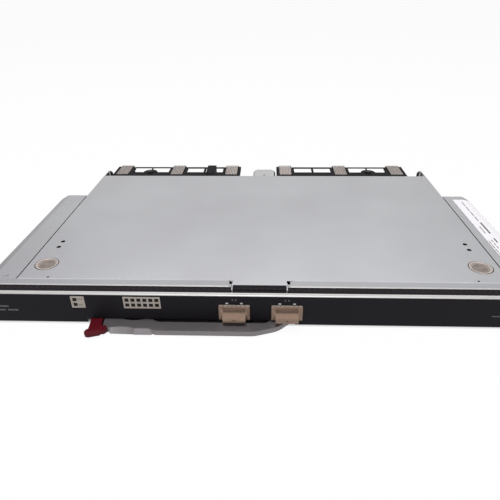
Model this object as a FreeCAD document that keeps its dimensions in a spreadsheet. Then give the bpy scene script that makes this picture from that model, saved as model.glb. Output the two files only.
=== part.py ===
import FreeCAD, Part
import math
import os
import re

import Sketcher

# Blade chassis interconnect module: a wide, low sheet-metal box that slides into a chassis.
# X runs to the right seen from the front, Y to the rear, Z up. Inside each piece Y is measured
# from the front face, and its placement moves the origin to the middle of the tray's underside.

# Driving sizes in millimetres and degrees
SIZES = {
    # whole module
    "module_width": 428.0,
    "module_height": 29.0,
    "rail_width": 24.5,
    "tray_depth": 276.0,
    "tray_sheet": 1.0,
    "cover_sheet": 1.0,
    "rail_sheet": 1.0,
    "seam_gap": 0.9,
    "fit_gap": 0.2,
    "running_gap": 0.05,
    # front panel
    "overlay_film": 0.5,
    "overlay_base": 1.3,
    "overlay_top": 26.2,
    "bezel_sheet": 1.2,
    "bezel_drop": 1.0,
    "bezel_bend": 1.5,
    "flange_depth": 3.0,
    "shelf_drop": 3.0,
    "gasket_height": 2.2,
    "gasket_round": 1.0,
    # lever slot along the bottom of the panel
    "slot_margin": 13.1,
    "slot_right": 27.0,
    "slot_height": 5.2,
    "notch_depth": 14.5,
    # top cover
    "cover_front": 11.6,
    "cover_rear": 238.0,
    "cover_flange": 6.0,
    "joggle_bend": 17.6,
    "joggle_drop": 2.0,
    "tongue_half": 21.0,
    "relief_slit": 0.5,
    "relief_width": 2.2,
    "relief_run": 3.2,
    "hook_front": 4.8,
    "hook_width": 0.8,
    "lug_hole_inset": 14.2,
    "lug_hole_y": 67.1,
    "lug_hole_pitch": 9.7,
    "lug_hole_radius": 1.9,
    "pin_hole_inset": 24.5,
    "pin_hole_y": 19.8,
    "pin_hole_radius": 0.9,
    # cover studs
    "stud_inset": 15.4,
    "stud_y": 39.3,
    "stud_head_radius": 9.0,
    "stud_head_height": 4.0,
    "stud_hole_gap": 0.55,
    "stud_shank_radius": 6.0,
    "stud_rim": 1.6,
    "stud_dish": 0.6,
    "stud_proud": 0.3,
    # tray walls
    "wall_drop": 4.0,
    "ear_end": 258.0,
    "ear_return": 5.0,
    "ear_round": 3.5,
    # side rails
    "rail_rear": 179.5,
    "rail_band": 6.0,
    "rail_band_drop": 1.5,
    "rail_foot": 12.0,
    "rail_inner_flange": 10.0,
    "rail_corner_across": 3.5,
    "rail_corner_along": 7.0,
    "dimple_inset": 10.5,
    "dimple_y": 22.6,
    "dimple_radius": 2.2,
    "dimple_rise": 0.3,
    # label on the right rail
    "label_inset": 7.0,
    "label_outset": 0.4,
    "label_front": 30.0,
    "label_rear": 171.0,
    "label_film": 0.2,
    # lamp windows
    "window_middle": 20.1,
    "window_height": 10.4,
    "window_proud": 0.2,
    "window_seat": 1.2,
    "status_x": 136.0,
    "status_width": 10.3,
    "link_x": 87.7,
    "link_width": 27.9,
    "lamp_square": 3.0,
    "lamp_pitch": 4.47,
    "lamp_row_pitch": 4.5,
    "status_lamp_shift": 2.1,
    "pipe_depth": 25.0,
    "pipe_leg": 5.0,
    # link ports
    "port_middle": 0.9,
    "port_pitch": 39.2,
    "cage_width": 21.6,
    "cage_height": 11.6,
    "cage_wall": 0.4,
    "cage_depth": 45.4,
    "finger_wall": 0.6,
    "finger_gap": 0.1,
    "port_lamp_width": 2.0,
    "port_lamp_height": 1.3,
    "port_lamp_pitch": 10.8,
    "port_lamp_rise": 7.8,
    "port_lamp_rim": 0.7,
    "port_lamp_head": 1.2,
    "header_width": 17.0,
    "header_depth": 9.4,
    "header_height": 8.0,
    "header_slot_width": 14.0,
    "header_slot_height": 2.0,
    "header_slot_depth": 6.0,
    # dust plugs
    "plug_flange_width": 23.2,
    "plug_flange_height": 11.7,
    "plug_flange_thick": 1.6,
    "plug_nose_depth": 9.0,
    "plug_nose_gap": 0.4,
    "plug_recess_width": 16.5,
    "plug_recess_height": 4.2,
    "plug_recess_rise": 2.8,
    "plug_recess_depth": 2.4,
    "plug_tab_width": 17.0,
    "plug_tab_drop": 4.75,
    "plug_tab_height": 3.9,
    "plug_tab_rise": 1.3,
    "plug_tab_reach": 5.3,
    "plug_hole_radius": 0.8,
    "plug_hole_depth": 3.0,
    # ejector lever
    "pivot_x": 18.0,
    "pivot_y": 6.5,
    "pivot_radius": 2.0,
    "pivot_head_radius": 3.5,
    "pivot_head": 0.5,
    "boss_radius": 6.0,
    "lever_base": 0.7,
    "lever_height": 4.1,
    "lever_reach": 118.4,
    "grip_slant": 1.8,
    "grip_front": 11.2,
    "grip_length": 36.4,
    "grip_step": 5.0,
    "arm_back": 3.2,
    "arm_front": 13.6,
    "arm_bend_x": 4.0,
    "arm_root_x": 5.0,
    "arm_root_y": 4.7,
    "haunch_x": 14.0,
    "haunch_y": 7.6,
    "heel_y": 2.5,
    "scallop_inset": 15.4,
    "scallop_radius": 31.0,
    "scallop_depth": 1.8,
    "dip_inset": 22.4,
    "dip_radius": 21.0,
    "dip_depth": 1.6,
    "wedge_run": 11.0,
    "ledge_inset": 0.9,
    "ledge_back": 5.0,
    "ledge_height": 1.2,
    "grip_rib_radius": 0.5,
    # lever bracket
    "bracket_left": 4.0,
    "bracket_right": 30.0,
    "bracket_front": 2.0,
    "bracket_bend": 16.0,
    "bracket_foot": 23.0,
    "bracket_sheet": 1.0,
    "bracket_gap": 0.3,
    # release latch on the lever's free end
    "latch_inset": 2.4,
    "latch_y": 12.6,
    "latch_pin_radius": 1.2,
    "latch_cap": 1.2,
    "latch_ear_radius": 3.2,
    "latch_ear_height": 1.7,
    "latch_hub_radius": 3.2,
    "latch_hub_gap": 0.6,
    "bar_length": 13.3,
    "bar_width": 6.4,
    "bar_base": 0.8,
    "bar_top": 6.0,
    "bar_edge": 1.2,
    "bar_angle": 17.5,
    "latch_arm_far": 10.8,
    "latch_arm_near": 2.0,
    "latch_lean": 3.0,
    "latch_arm_base": 1.6,
    "latch_arm_top": 4.9,
    "latch_arm_tail": 6.0,
    "latch_nose_y": 2.5,
    "latch_nose": 1.8,
    "spring_inner_radius": 1.7,
    "spring_outer_radius": 2.5,
    "spring_height": 0.7,
    "spring_room": 0.4,
    # main board
    "board_top": 6.7,
    "board_thick": 1.6,
    "board_front": 20.0,
    "board_step": 60.0,
    "board_stud_gap": 7.0,
    "board_side_gap": 4.5,
    "board_rear": 270.0,
    "screw_radius": 1.5,
    "screw_hole_gap": 0.2,
    "screw_head_radius": 2.8,
    "screw_head": 1.8,
    "standoff_radius": 3.2,
    "screw_front_inset": 12.0,
    "screw_sink_gap": 14.0,
    "screw_rear_y": 225.0,
    # chips and heat sinks
    "chip_x": 60.0,
    "chip_y": 150.0,
    "chip_size": 27.0,
    "chip_height": 2.2,
    "thermal_pad_size": 25.0,
    "thermal_pad_thick": 0.5,
    "sink_size": 52.0,
    "sink_base": 3.0,
    "sink_top": 24.0,
    "sink_fin": 1.2,
    "manager_y": 110.0,
    "manager_size": 14.0,
    "manager_height": 1.4,
    # backplane connectors
    "connector_width": 15.8,
    "connector_front": 251.0,
    "connector_rear": 280.5,
    "connector_top": 26.4,
    "housing_floor": 2.3,
    "housing_side": 0.9,
    "hood_depth": 3.4,
    "hood_top": 22.0,
    "wafer_gap": 0.1,
    "wafer_groove": 0.9,
    "wafer_groove_depth": 1.8,
    "wafer_pitch": 1.9,
    "hood_slot": 1.0,
    "hood_slot_rise": 2.0,
    # connector frames
    "frame_left_side_gap": 7.3,
    "frame_left_guide_gap": 15.8,
    "frame_right_side_gap": 18.8,
    "frame_right_guide_gap": 1.3,
    "frame_front": 246.5,
    "frame_rail_rear": 258.5,
    "frame_top": 26.0,
    "frame_thick": 3.0,
    "frame_web": 2.5,
    "frame_post": 2.6,
    "frame_post_rear": 278.0,
    "frame_post_gap": 0.3,
    "frame_bar_rear": 276.2,
    "frame_bar": 2.4,
    "frame_bar_thin": 1.4,
    "frame_bar_height": 1.2,
    "frame_divider": 2.4,
    "lobe_radius": 8.5,
    "lobe_rib": 1.2,
    "lobe_boss_radius": 4.0,
    "frame_screw_head_radius": 3.4,
    "frame_screw_head": 1.6,
    "frame_screw_length": 12.0,
    # power connector
    "power_offset": 25.6,
    "power_width": 10.5,
    "power_front": 252.5,
    "power_rear": 281.0,
    "power_top": 26.6,
    "power_blade_slot": 1.6,
    "power_blade_depth": 8.0,
    # guide block
    "guide_x": 1.5,
    "guide_width": 27.0,
    "guide_front": 247.5,
    "guide_rear": 271.5,
    "guide_top": 25.5,
    "guide_corner": 7.0,
    "guide_edge": 2.0,
    "guide_bore_radius": 4.0,
    "guide_bore_depth": 16.0,
    "guide_bore_height": 14.0,
    "guide_peep_radius": 1.6,
    "guide_peep_y": 250.5,
    "guide_peep_depth": 5.0,
    "guide_board_gap": 0.8,
}

LINK_LAMP_COLUMNS = 6
LAMP_ROWS = 2
WAFER_GROOVES = 7
HOOD_SLOTS = 6
SINK_FINS = 11
GRIP_RIBS = 4

PLANES = {"X": "YZ_Plane", "Y": "XZ_Plane", "Z": "XY_Plane"}
NEAR = 1e-4

# Places that several pieces share
PANEL_SIDE = "(module_width / 2)"
BODY_SIDE = "(module_width / 2 - rail_width)"
PANEL_BACK = "(overlay_film + bezel_sheet)"
BEZEL_TOP = "(module_height - bezel_drop)"
SHELF_TOP = "(module_height - bezel_drop - shelf_drop)"
SHELF_BASE = "(module_height - bezel_drop - shelf_drop - bezel_sheet)"
SHELF_REAR = "(cover_front - fit_gap)"
COVER_BASE = "(module_height - cover_sheet)"
LEVER_TOP = "(lever_base + lever_height)"
SLOT_LEFT = "(lever_reach + slot_margin)"
GRIP_INNER = "(lever_reach - grip_length)"
LATCH_PIN = ("-(lever_reach - latch_inset)", "-latch_y")
LATCH_LEFT = "(lever_reach + latch_arm_far)"
LATCH_RIGHT = "(lever_reach + latch_arm_near)"
PIN_TOP = "(bar_top - latch_cap)"
EAR_TOP = "(lever_base + latch_ear_height)"
HUB_BASE = "(lever_base + latch_ear_height + fit_gap)"
PORT_HEIGHT = "(board_top + cage_height / 2)"
LAMP_LEVEL = "(board_top + cage_height / 2 + port_lamp_rise)"
BOARD_BASE = "(board_top - board_thick)"
FRAME_BASE = "(frame_top - frame_thick)"
PIPE_TOP = "(module_height - bezel_drop - shelf_drop - bezel_sheet - fit_gap)"
CHIP_TOP = "(board_top + chip_height)"
SINK_SEAT = "(board_top + chip_height + thermal_pad_thick)"
FIN_PITCH = f"((sink_size - sink_fin) / {SINK_FINS - 1})"
RECESS_HALF = "(connector_width / 2 + frame_post_gap)"
POST_HALF = "(connector_width / 2 + frame_post_gap + frame_post)"
PORTS = ("(port_middle - port_pitch / 2)", "(port_middle + port_pitch / 2)")
STUD = f"({BODY_SIDE} - stud_inset)"
BOARD_FRONT_HALF = f"({STUD} - stud_shank_radius - board_stud_gap)"
BOARD_REAR_HALF = f"({BODY_SIDE} - tray_sheet - board_side_gap)"
GUIDE_LEFT = "(guide_x - guide_width / 2)"
GUIDE_RIGHT = "(guide_x + guide_width / 2)"

# Left and right end of each connector frame, and the connectors spread evenly between them
FRAME_ENDS = {
    "left": (f"(frame_left_side_gap - {BODY_SIDE})", f"({GUIDE_LEFT} - frame_left_guide_gap)"),
    "right": (f"({GUIDE_RIGHT} + frame_right_guide_gap)", f"({BODY_SIDE} - frame_right_side_gap)"),
}
FRAME_STEPS = (0, 0.5, 1)
LOBE_SHARES = {"left": 0.25, "right": 0.75}


def along_frame(side, share):
    """Give a place on a frame, from its first connector at 0 to its last at 1."""
    low, high = FRAME_ENDS[side]
    return f"(({low} + {POST_HALF}) * {1 - share} + ({high} - {POST_HALF}) * {share})"


CONNECTORS = [along_frame(side, share) for side in FRAME_ENDS for share in FRAME_STEPS]
POWER_MIDDLE = f"({along_frame('left', 1)} - power_offset)"

# Places of the board's screws, as across and along pairs; each is used on both sides
BOARD_SCREWS = (
    (f"({BOARD_FRONT_HALF} - screw_front_inset)", "(board_front + screw_front_inset)"),
    ("(chip_x + sink_size / 2 + screw_sink_gap)", "screw_rear_y"),
)

doc = FreeCAD.newDocument("interconnect_module")
sheet = doc.addObject("Spreadsheet::Sheet", "Sizes")
pieces = []


def fill_sheet():
    """Write the driving sizes into the sheet, one named cell each."""
    for row, (name, value) in enumerate(SIZES.items(), 1):
        sheet.set(f"A{row}", name)
        sheet.set(f"B{row}", str(value))
        sheet.setAlias(f"B{row}", name)
    doc.recompute()


def bound(formula):
    """Make a formula of size names read the sheet."""
    def read(word):
        return f"Sizes.{word.group()}" if word.group() in SIZES else word.group()
    return re.sub(r"[a-z_]+", read, formula)


def new_body(label):
    """Start a piece whose Y is measured from the module's front face."""
    body = doc.addObject("PartDesign::Body", label)
    body.Label = label
    body.setExpression("Placement.Base.y", bound("-tray_depth / 2"))
    pieces.append(body)
    return body


def pin_point(sketch, edge, point, across, along):
    """Tie one point of a sketch to formulas of its two coordinates."""
    for kind, formula, axis in (("DistanceX", across, -2), ("DistanceY", along, -1)):
        if formula == "0":
            sketch.addConstraint(Sketcher.Constraint("PointOnObject", edge, point, axis))
        else:
            index = sketch.addConstraint(Sketcher.Constraint(kind, -1, 1, edge, point, 1.0))
            sketch.setExpression(f"Constraints[{index}]", bound(formula))


def draw_loop(sketch, corners):
    """Draw a closed outline through corners given as formulas."""
    first = sketch.GeometryCount
    count = len(corners)
    ring = [
        FreeCAD.Vector(math.cos(2 * math.pi * i / count), math.sin(2 * math.pi * i / count), 0)
        for i in range(count)
    ]
    for i in range(count):
        sketch.addGeometry(Part.LineSegment(ring[i], ring[(i + 1) % count]), False)
    for i in range(count):
        follower = first + (i + 1) % count
        sketch.addConstraint(Sketcher.Constraint("Coincident", first + i, 2, follower, 1))
    for i, corner in enumerate(corners):
        pin_point(sketch, first + i, 1, corner[0], corner[1])


def draw_circle(sketch, across, along, radius):
    """Draw a circle whose centre and radius are formulas."""
    circle = Part.Circle(FreeCAD.Vector(1, 1, 0), FreeCAD.Vector(0, 0, 1), 1)
    edge = sketch.addGeometry(circle, False)
    pin_point(sketch, edge, 3, across, along)
    index = sketch.addConstraint(Sketcher.Constraint("Radius", edge, 1.0))
    sketch.setExpression(f"Constraints[{index}]", bound(radius))


def draw(body, axis, start, length, loops, circles, centre=None, turn=None):
    """Draw a section across an axis, placed so that a pad runs from start over length."""
    sketch = body.newObject("Sketcher::SketchObject", body.Label + "_section")
    plane = next(part for part in body.Origin.OriginFeatures if part.Role == PLANES[axis])
    sketch.AttachmentSupport = [(plane, "")]
    sketch.MapMode = "FlatFace"
    level = f"-({start} + {length})" if axis == "Y" else start
    sketch.setExpression("AttachmentOffset.Base.z", bound(level))
    if centre:
        sketch.setExpression("AttachmentOffset.Base.x", bound(centre[0]))
        sketch.setExpression("AttachmentOffset.Base.y", bound(centre[1]))
    if turn:
        sketch.setExpression("AttachmentOffset.Rotation.Angle", bound(turn))
    for corners in loops:
        draw_loop(sketch, corners)
    for circle in circles:
        draw_circle(sketch, *circle)
    return sketch


def edges_through(shape, direction, point):
    """Name the straight edges of a shape along a direction that pass through a point."""
    names = []
    for index, edge in enumerate(shape.Edges, 1):
        if not isinstance(edge.Curve, Part.Line):
            continue
        if edge.Curve.Direction.cross(direction).Length > NEAR:
            continue
        low, high = (vertex.Point for vertex in edge.Vertexes)
        offset = point - low
        if offset.cross(direction).Length < NEAR:
            reach = (high - low).dot(direction)
            along = offset.dot(direction)
            if min(0, reach) < along < max(0, reach):
                names.append(f"Edge{index}")
    return names


def round_corners(body, feature, sketch, length, loops):
    """Round the upright edges at the corners that carry a radius."""
    wanted = {}
    edge = 0
    place = sketch.Placement
    direction = place.Rotation.multVec(FreeCAD.Vector(0, 0, 1))
    middle = direction * (length / 2)
    for corners in loops:
        for corner in corners:
            if len(corner) == 3:
                point = place.multVec(sketch.Geometry[edge].StartPoint) + middle
                wanted.setdefault(corner[2], []).append(point)
            edge += 1
    for radius, points in wanted.items():
        base = body.Tip
        names = [name for point in points for name in edges_through(base.Shape, direction, point)]
        fillet_edges(body, base, names, radius)
    return feature


def fillet_edges(body, base, names, radius):
    """Round the named edges of a feature."""
    fillet = body.newObject("PartDesign::Fillet", body.Label + "_round")
    fillet.Base = (base, names)
    fillet.setExpression("Radius", bound(radius))
    doc.recompute()


def bevel_edges(body, base, names, width):
    """Bevel the named edges of a feature."""
    bevel = body.newObject("PartDesign::Chamfer", body.Label + "_bevel")
    bevel.Base = (base, names)
    bevel.setExpression("Size", bound(width))
    doc.recompute()


def add(body, axis, start, length, loops=(), circles=(), centre=None, turn=None):
    """Add material from start over length along an axis, and round marked corners."""
    sketch = draw(body, axis, start, length, loops, circles, centre, turn)
    pad = body.newObject("PartDesign::Pad", body.Label + "_pad")
    pad.Profile = sketch
    pad.setExpression("Length", bound(length))
    doc.recompute()
    return round_corners(body, pad, sketch, pad.Length.Value, loops)


def cut(body, axis, start, length, loops=(), circles=(), centre=None, turn=None):
    """Cut material from start over length along an axis, and round marked corners."""
    before = body.Shape.Volume
    sketch = draw(body, axis, start, length, loops, circles, centre, turn)
    pocket = body.newObject("PartDesign::Pocket", body.Label + "_pocket")
    pocket.Profile = sketch
    pocket.Reversed = True
    pocket.setExpression("Length", bound(length))
    doc.recompute()
    if body.Shape.Volume >= before:
        raise ValueError(f"a pocket of {body.Label} cuts nothing")
    return round_corners(body, pocket, sketch, pocket.Length.Value, loops)


def repeat(body, feature, axis, pitch, count):
    """Repeat a feature in a straight row."""
    row = body.newObject("PartDesign::LinearPattern", body.Label + "_row")
    row.Originals = [feature]
    direction = next(part for part in body.Origin.OriginFeatures if part.Role == axis + "_Axis")
    row.Direction = (direction, [""])
    row.Mode = "Spacing"
    row.setExpression("Offset", bound(pitch))
    row.Occurrences = count
    body.Tip = row
    doc.recompute()
    return row


def turn_profile(body, across, along, corners):
    """Turn a half section about an upright axis; corners are radius and height formulas."""
    sketch = draw(body, "Y", along, "0", [corners], (), centre=(across, "0"))
    turned = body.newObject("PartDesign::Revolution", body.Label + "_turned")
    turned.Profile = sketch
    turned.ReferenceAxis = (sketch, ["V_Axis"])
    turned.Angle = 360
    doc.recompute()
    return turned


def rectangle(left, right, low, high, radius=None):
    """Give the corners of a rectangle, rounded if a radius is given."""
    corners = ((left, low), (right, low), (right, high), (left, high))
    if radius:
        corners = tuple(corner + (radius,) for corner in corners)
    return corners


def centred(across, width, low, high, radius=None):
    """Give a rectangle that is centred across and runs from low to high."""
    return rectangle(f"{across} - {width} / 2", f"{across} + {width} / 2", low, high, radius)


def around(across, width, middle, height, radius=None):
    """Give a rectangle about a middle point."""
    low = f"{middle} - {height} / 2"
    high = f"{middle} + {height} / 2"
    return centred(across, width, low, high, radius)


def block(name, across, width, start, depth, middle, height):
    """Make a box that is centred across and in height, from its front face."""
    box = doc.addObject("Part::Box", name)
    box.setExpression("Length", bound(width))
    box.setExpression("Width", bound(depth))
    box.setExpression("Height", bound(height))
    box.setExpression("Placement.Base.x", bound(f"{across} - {width} / 2"))
    box.setExpression("Placement.Base.y", bound(f"{start} - tray_depth / 2"))
    box.setExpression("Placement.Base.z", bound(f"{middle} - {height} / 2"))
    return box


def cylinder(name, radius, length, across, along, height):
    """Make an upright cylinder from its start point."""
    rod = doc.addObject("Part::Cylinder", name)
    rod.setExpression("Radius", bound(radius))
    rod.setExpression("Height", bound(length))
    rod.setExpression("Placement.Base.x", bound(across))
    rod.setExpression("Placement.Base.y", bound(f"{along} - tray_depth / 2"))
    rod.setExpression("Placement.Base.z", bound(height))
    return rod


def hexagon(name, radius, length, across, along, height):
    """Make an upright six-sided bar from its start point; the radius is to its corners."""
    bar = doc.addObject("Part::Prism", name)
    bar.Polygon = 6
    bar.setExpression("Circumradius", bound(radius))
    bar.setExpression("Height", bound(length))
    bar.setExpression("Placement.Base.x", bound(across))
    bar.setExpression("Placement.Base.y", bound(f"{along} - tray_depth / 2"))
    bar.setExpression("Placement.Base.z", bound(height))
    return bar


def joined(name, parts):
    """Fuse overlapping primitives into one solid."""
    fused = doc.addObject("Part::MultiFuse", name)
    fused.Shapes = parts
    return fused


def group(label, members):
    """Keep identical separate solids together as one piece."""
    together = doc.addObject("Part::Compound", label)
    together.Label = label
    together.Links = members
    pieces.append(together)
    return together


def panel_openings():
    """Give the openings that the overlay and the bezel share: ports, port lamps and lever slot."""
    width = "(cage_width + 2 * finger_wall + 4 * finger_gap)"
    height = "(cage_height + 2 * finger_wall + 4 * finger_gap)"
    loops = [around(port, width, PORT_HEIGHT, height) for port in PORTS]
    loops += [around(place, "(port_lamp_width + 2 * running_gap)", LAMP_LEVEL,
                     "(port_lamp_height + 2 * running_gap)") for place in port_lamp_places()]
    loops.append(rectangle(f"-{SLOT_LEFT}", "slot_right", "0", "slot_height"))
    return loops


def port_lamp_places():
    """Give the across place of each small lamp above the ports."""
    return [f"({port} {side} port_lamp_pitch / 2)" for port in PORTS for side in "-+"]


def base_tray():
    """Folded tray: base with a notch for the lever, side walls and rear ears."""
    body = new_body("base_tray")
    outline = [
        (f"-{BODY_SIDE}", PANEL_BACK),
        (f"-{SLOT_LEFT}", PANEL_BACK),
        (f"-{SLOT_LEFT}", "notch_depth", "tray_sheet"),
        ("slot_right", "notch_depth", "tray_sheet"),
        ("slot_right", PANEL_BACK),
        (BODY_SIDE, PANEL_BACK),
        (BODY_SIDE, "tray_depth"),
        (f"-{BODY_SIDE}", "tray_depth"),
    ]
    add(body, "Z", "0", "tray_sheet", [outline])
    for sign in ("-", ""):
        wall = [
            (f"{sign}{BODY_SIDE}", PANEL_BACK),
            (f"{sign}{BODY_SIDE}", "ear_end"),
            (f"{sign}({BODY_SIDE} - ear_return)", "ear_end"),
            (f"{sign}({BODY_SIDE} - ear_return)", "ear_end - tray_sheet"),
            (f"{sign}({BODY_SIDE} - tray_sheet)", "ear_end - tray_sheet"),
            (f"{sign}({BODY_SIDE} - tray_sheet)", PANEL_BACK),
        ]
        add(body, "Z", "tray_sheet", f"{COVER_BASE} - tray_sheet", [wall])
    step = rectangle("0", "cover_front", SHELF_BASE + " - fit_gap", "module_height")
    cut(body, "X", f"-{BODY_SIDE}", f"2 * {BODY_SIDE}", [step])
    low_wall = rectangle("0", "rail_rear - rail_sheet", f"{COVER_BASE} - wall_drop", "module_height")
    cut(body, "X", f"-{BODY_SIDE}", f"2 * {BODY_SIDE}", [low_wall])
    tip = body.Tip
    names = []
    for sign in (-1, 1):
        across = sign * (sheet.module_width / 2 - sheet.rail_width - sheet.ear_return)
        point = FreeCAD.Vector(across, sheet.ear_end - sheet.tray_sheet / 2,
                               sheet.module_height - sheet.cover_sheet)
        names += edges_through(tip.Shape, FreeCAD.Vector(0, 1, 0), point)
    fillet_edges(body, tip, names, "ear_round")


def top_cover():
    """Cover sheet with two joggled lips, a flat tongue between relief notches and a rear flange."""
    body = new_body("top_cover")
    side = f"({BODY_SIDE} - seam_gap)"
    right = [
        (side, "cover_rear"),
        (side, "joggle_bend"),
        ("tongue_half", "joggle_bend"),
        ("tongue_half", "hook_front"),
        ("tongue_half - hook_width", "hook_front"),
        ("tongue_half - hook_width", "cover_front"),
    ]
    outline = [(f"-({across})", along) for across, along in right]
    outline += list(reversed(right))
    add(body, "Z", COVER_BASE, "cover_sheet", [outline])
    lip = [
        ("joggle_bend", "module_height"),
        ("joggle_bend", COVER_BASE),
        ("cover_front", f"{COVER_BASE} - joggle_drop"),
        ("cover_front", "module_height - joggle_drop"),
    ]
    run = f"{side} - tongue_half - relief_slit"
    for start in (f"-{side}", "tongue_half + relief_slit"):
        add(body, "X", start, run, [lip])
    notches = [rectangle(f"{sign}(tongue_half - relief_slit)", f"{sign}(tongue_half + relief_width)",
                         "joggle_bend - relief_run", "joggle_bend") for sign in ("-", "")]
    cut(body, "Z", f"{COVER_BASE} - joggle_drop", "cover_sheet + joggle_drop", notches)
    inner = f"({BODY_SIDE} - tray_sheet - fit_gap)"
    flange = rectangle(f"-{inner}", inner, "cover_rear - cover_sheet", "cover_rear")
    add(body, "Z", f"{COVER_BASE} - cover_flange", "cover_flange", [flange])
    lug = f"({BODY_SIDE} - lug_hole_inset)"
    pin = f"({BODY_SIDE} - pin_hole_inset)"
    holes = []
    for sign in ("-", ""):
        holes.append((f"{sign}{STUD}", "stud_y", "stud_head_radius + stud_hole_gap"))
        holes.append((f"{sign}{lug}", "lug_hole_y", "lug_hole_radius"))
        holes.append((f"{sign}{lug}", "lug_hole_y + lug_hole_pitch", "lug_hole_radius"))
        holes.append((f"{sign}{pin}", "pin_hole_y", "pin_hole_radius"))
    cut(body, "Z", COVER_BASE, "cover_sheet", circles=holes)


def side_rail(label, sign):
    """Channel beside the cover: joggled top sheet with a sloped outer band, outer wall and foot."""
    body = new_body(label)
    inner = BODY_SIDE
    outer = PANEL_SIDE
    height = "module_height"
    band_base = "module_height - rail_band_drop"
    section = [
        (inner, f"{height} - rail_inner_flange"),
        (inner, height),
        (f"{outer} - rail_band", height),
        (outer, band_base),
        (outer, "0"),
        (f"{outer} - rail_foot", "0"),
        (f"{outer} - rail_foot", "rail_sheet"),
        (f"{outer} - rail_sheet", "rail_sheet"),
        (f"{outer} - rail_sheet", f"{band_base} - rail_sheet"),
        (f"{outer} - rail_band", f"{height} - rail_sheet"),
        (f"{inner} + rail_sheet", f"{height} - rail_sheet"),
        (f"{inner} + rail_sheet", f"{height} - rail_inner_flange"),
    ]
    section = [(f"{sign}({across})", level) for across, level in section]
    add(body, "Y", PANEL_BACK, f"rail_rear - {PANEL_BACK}", [section])
    closure = rectangle(f"{sign}({inner} + rail_sheet)", f"{sign}({outer} - rail_sheet)",
                        "rail_sheet", f"{band_base} - rail_sheet")
    add(body, "Y", "rail_rear - rail_sheet", "rail_sheet", [closure])
    left = f"-{outer}" if sign else inner
    step = rectangle("0", "cover_front", SHELF_BASE + " - fit_gap", height)
    cut(body, "X", left, f"{outer} - {inner}", [step])
    lip = [
        ("joggle_bend", height),
        ("joggle_bend", f"{height} - rail_sheet"),
        ("cover_front", f"{height} - rail_sheet - joggle_drop"),
        ("cover_front", f"{height} - joggle_drop"),
    ]
    add(body, "X", left, f"{outer} - {inner}", [lip])
    cut(body, "X", left, f"{outer} - {inner}", [[lip[0], lip[3], ("cover_front", height)]])
    above_band = [
        (f"{sign}({outer} - rail_band)", height),
        (f"{sign}{outer}", height),
        (f"{sign}{outer}", band_base),
    ]
    cut(body, "Y", "cover_front", "joggle_bend - cover_front", [above_band])
    dimple = (f"{sign}({inner} + dimple_inset)", "dimple_y", "dimple_radius")
    add(body, "Z", height, "dimple_rise", circles=[dimple])
    corner = [
        (f"{sign}({outer} - rail_corner_across)", "rail_rear"),
        (f"{sign}{outer}", "rail_rear"),
        (f"{sign}{outer}", "rail_rear - rail_corner_along"),
    ]
    cut(body, "Z", "0", height, [corner])
    slant = corner[::2] + [
        (f"{sign}({outer} - rail_sheet)", "rail_rear - rail_corner_along"),
        (f"{sign}({outer} - rail_corner_across - rail_sheet)", "rail_rear"),
    ]
    add(body, "Z", "0", f"{band_base} - rail_sheet", [slant])


def front_bezel():
    """Folded panel: face, bright rounded top hem and a sunk shelf for the gasket."""
    body = new_body("front_bezel")
    section = [
        ("overlay_film", "overlay_base"),
        ("overlay_film", BEZEL_TOP, "bezel_bend"),
        ("flange_depth", BEZEL_TOP),
        ("flange_depth", SHELF_TOP),
        (SHELF_REAR, SHELF_TOP),
        (SHELF_REAR, SHELF_BASE),
        (PANEL_BACK, SHELF_BASE),
        (PANEL_BACK, "overlay_base"),
    ]
    add(body, "X", f"-{PANEL_SIDE}", "module_width", [section])
    openings = panel_openings()
    inset = "2 * window_seat"
    for across, width in (("-status_x", "status_width"), ("-link_x", "link_width")):
        openings.append(around(across, f"({width} - {inset})", "window_middle",
                               f"(window_height - {inset})"))
    cut(body, "Y", "overlay_film", "flange_depth - overlay_film", openings)


def front_overlay():
    """Black film over the bezel's face."""
    body = new_body("front_overlay")
    face = rectangle(f"-{PANEL_SIDE}", PANEL_SIDE, "overlay_base", "overlay_top")
    add(body, "Y", "0", "overlay_film", [face])
    openings = panel_openings()
    for across, width in (("-status_x", "status_width"), ("-link_x", "link_width")):
        openings.append(around(across, f"({width} + 2 * running_gap)", "window_middle",
                               "(window_height + 2 * running_gap)"))
    cut(body, "Y", "0", "overlay_film", openings)


def gasket(label, left, right):
    """Soft strip with rounded top edges on the bezel's shelf."""
    body = new_body(label)
    front = "flange_depth + fit_gap"
    section = [
        (front, SHELF_TOP),
        (SHELF_REAR, SHELF_TOP),
        (SHELF_REAR, f"{SHELF_TOP} + gasket_height", "gasket_round"),
        (front, f"{SHELF_TOP} + gasket_height", "gasket_round"),
    ]
    add(body, "X", left, f"({right}) - ({left})", [section])


def lamp_squares(across, columns, size):
    """Give the square outlines of a lamp field."""
    loops = []
    for column in range(columns):
        for row in range(LAMP_ROWS):
            place = f"({across} + {column - (columns - 1) / 2} * lamp_pitch)"
            level = f"(window_middle + {row - (LAMP_ROWS - 1) / 2} * lamp_row_pitch)"
            loops.append(around(place, size, level, size))
    return loops


def lamp_window(label, across, width, lamps_across, columns):
    """Pale plate let into the overlay, with a square hole for each lamp."""
    body = new_body(label)
    plate = around(across, width, "window_middle", "window_height")
    thickness = "overlay_film + window_proud"
    add(body, "Y", "-window_proud", thickness, [plate])
    holes = lamp_squares(lamps_across, columns, "(lamp_square + 2 * running_gap)")
    cut(body, "Y", "-window_proud", thickness, holes)


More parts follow.
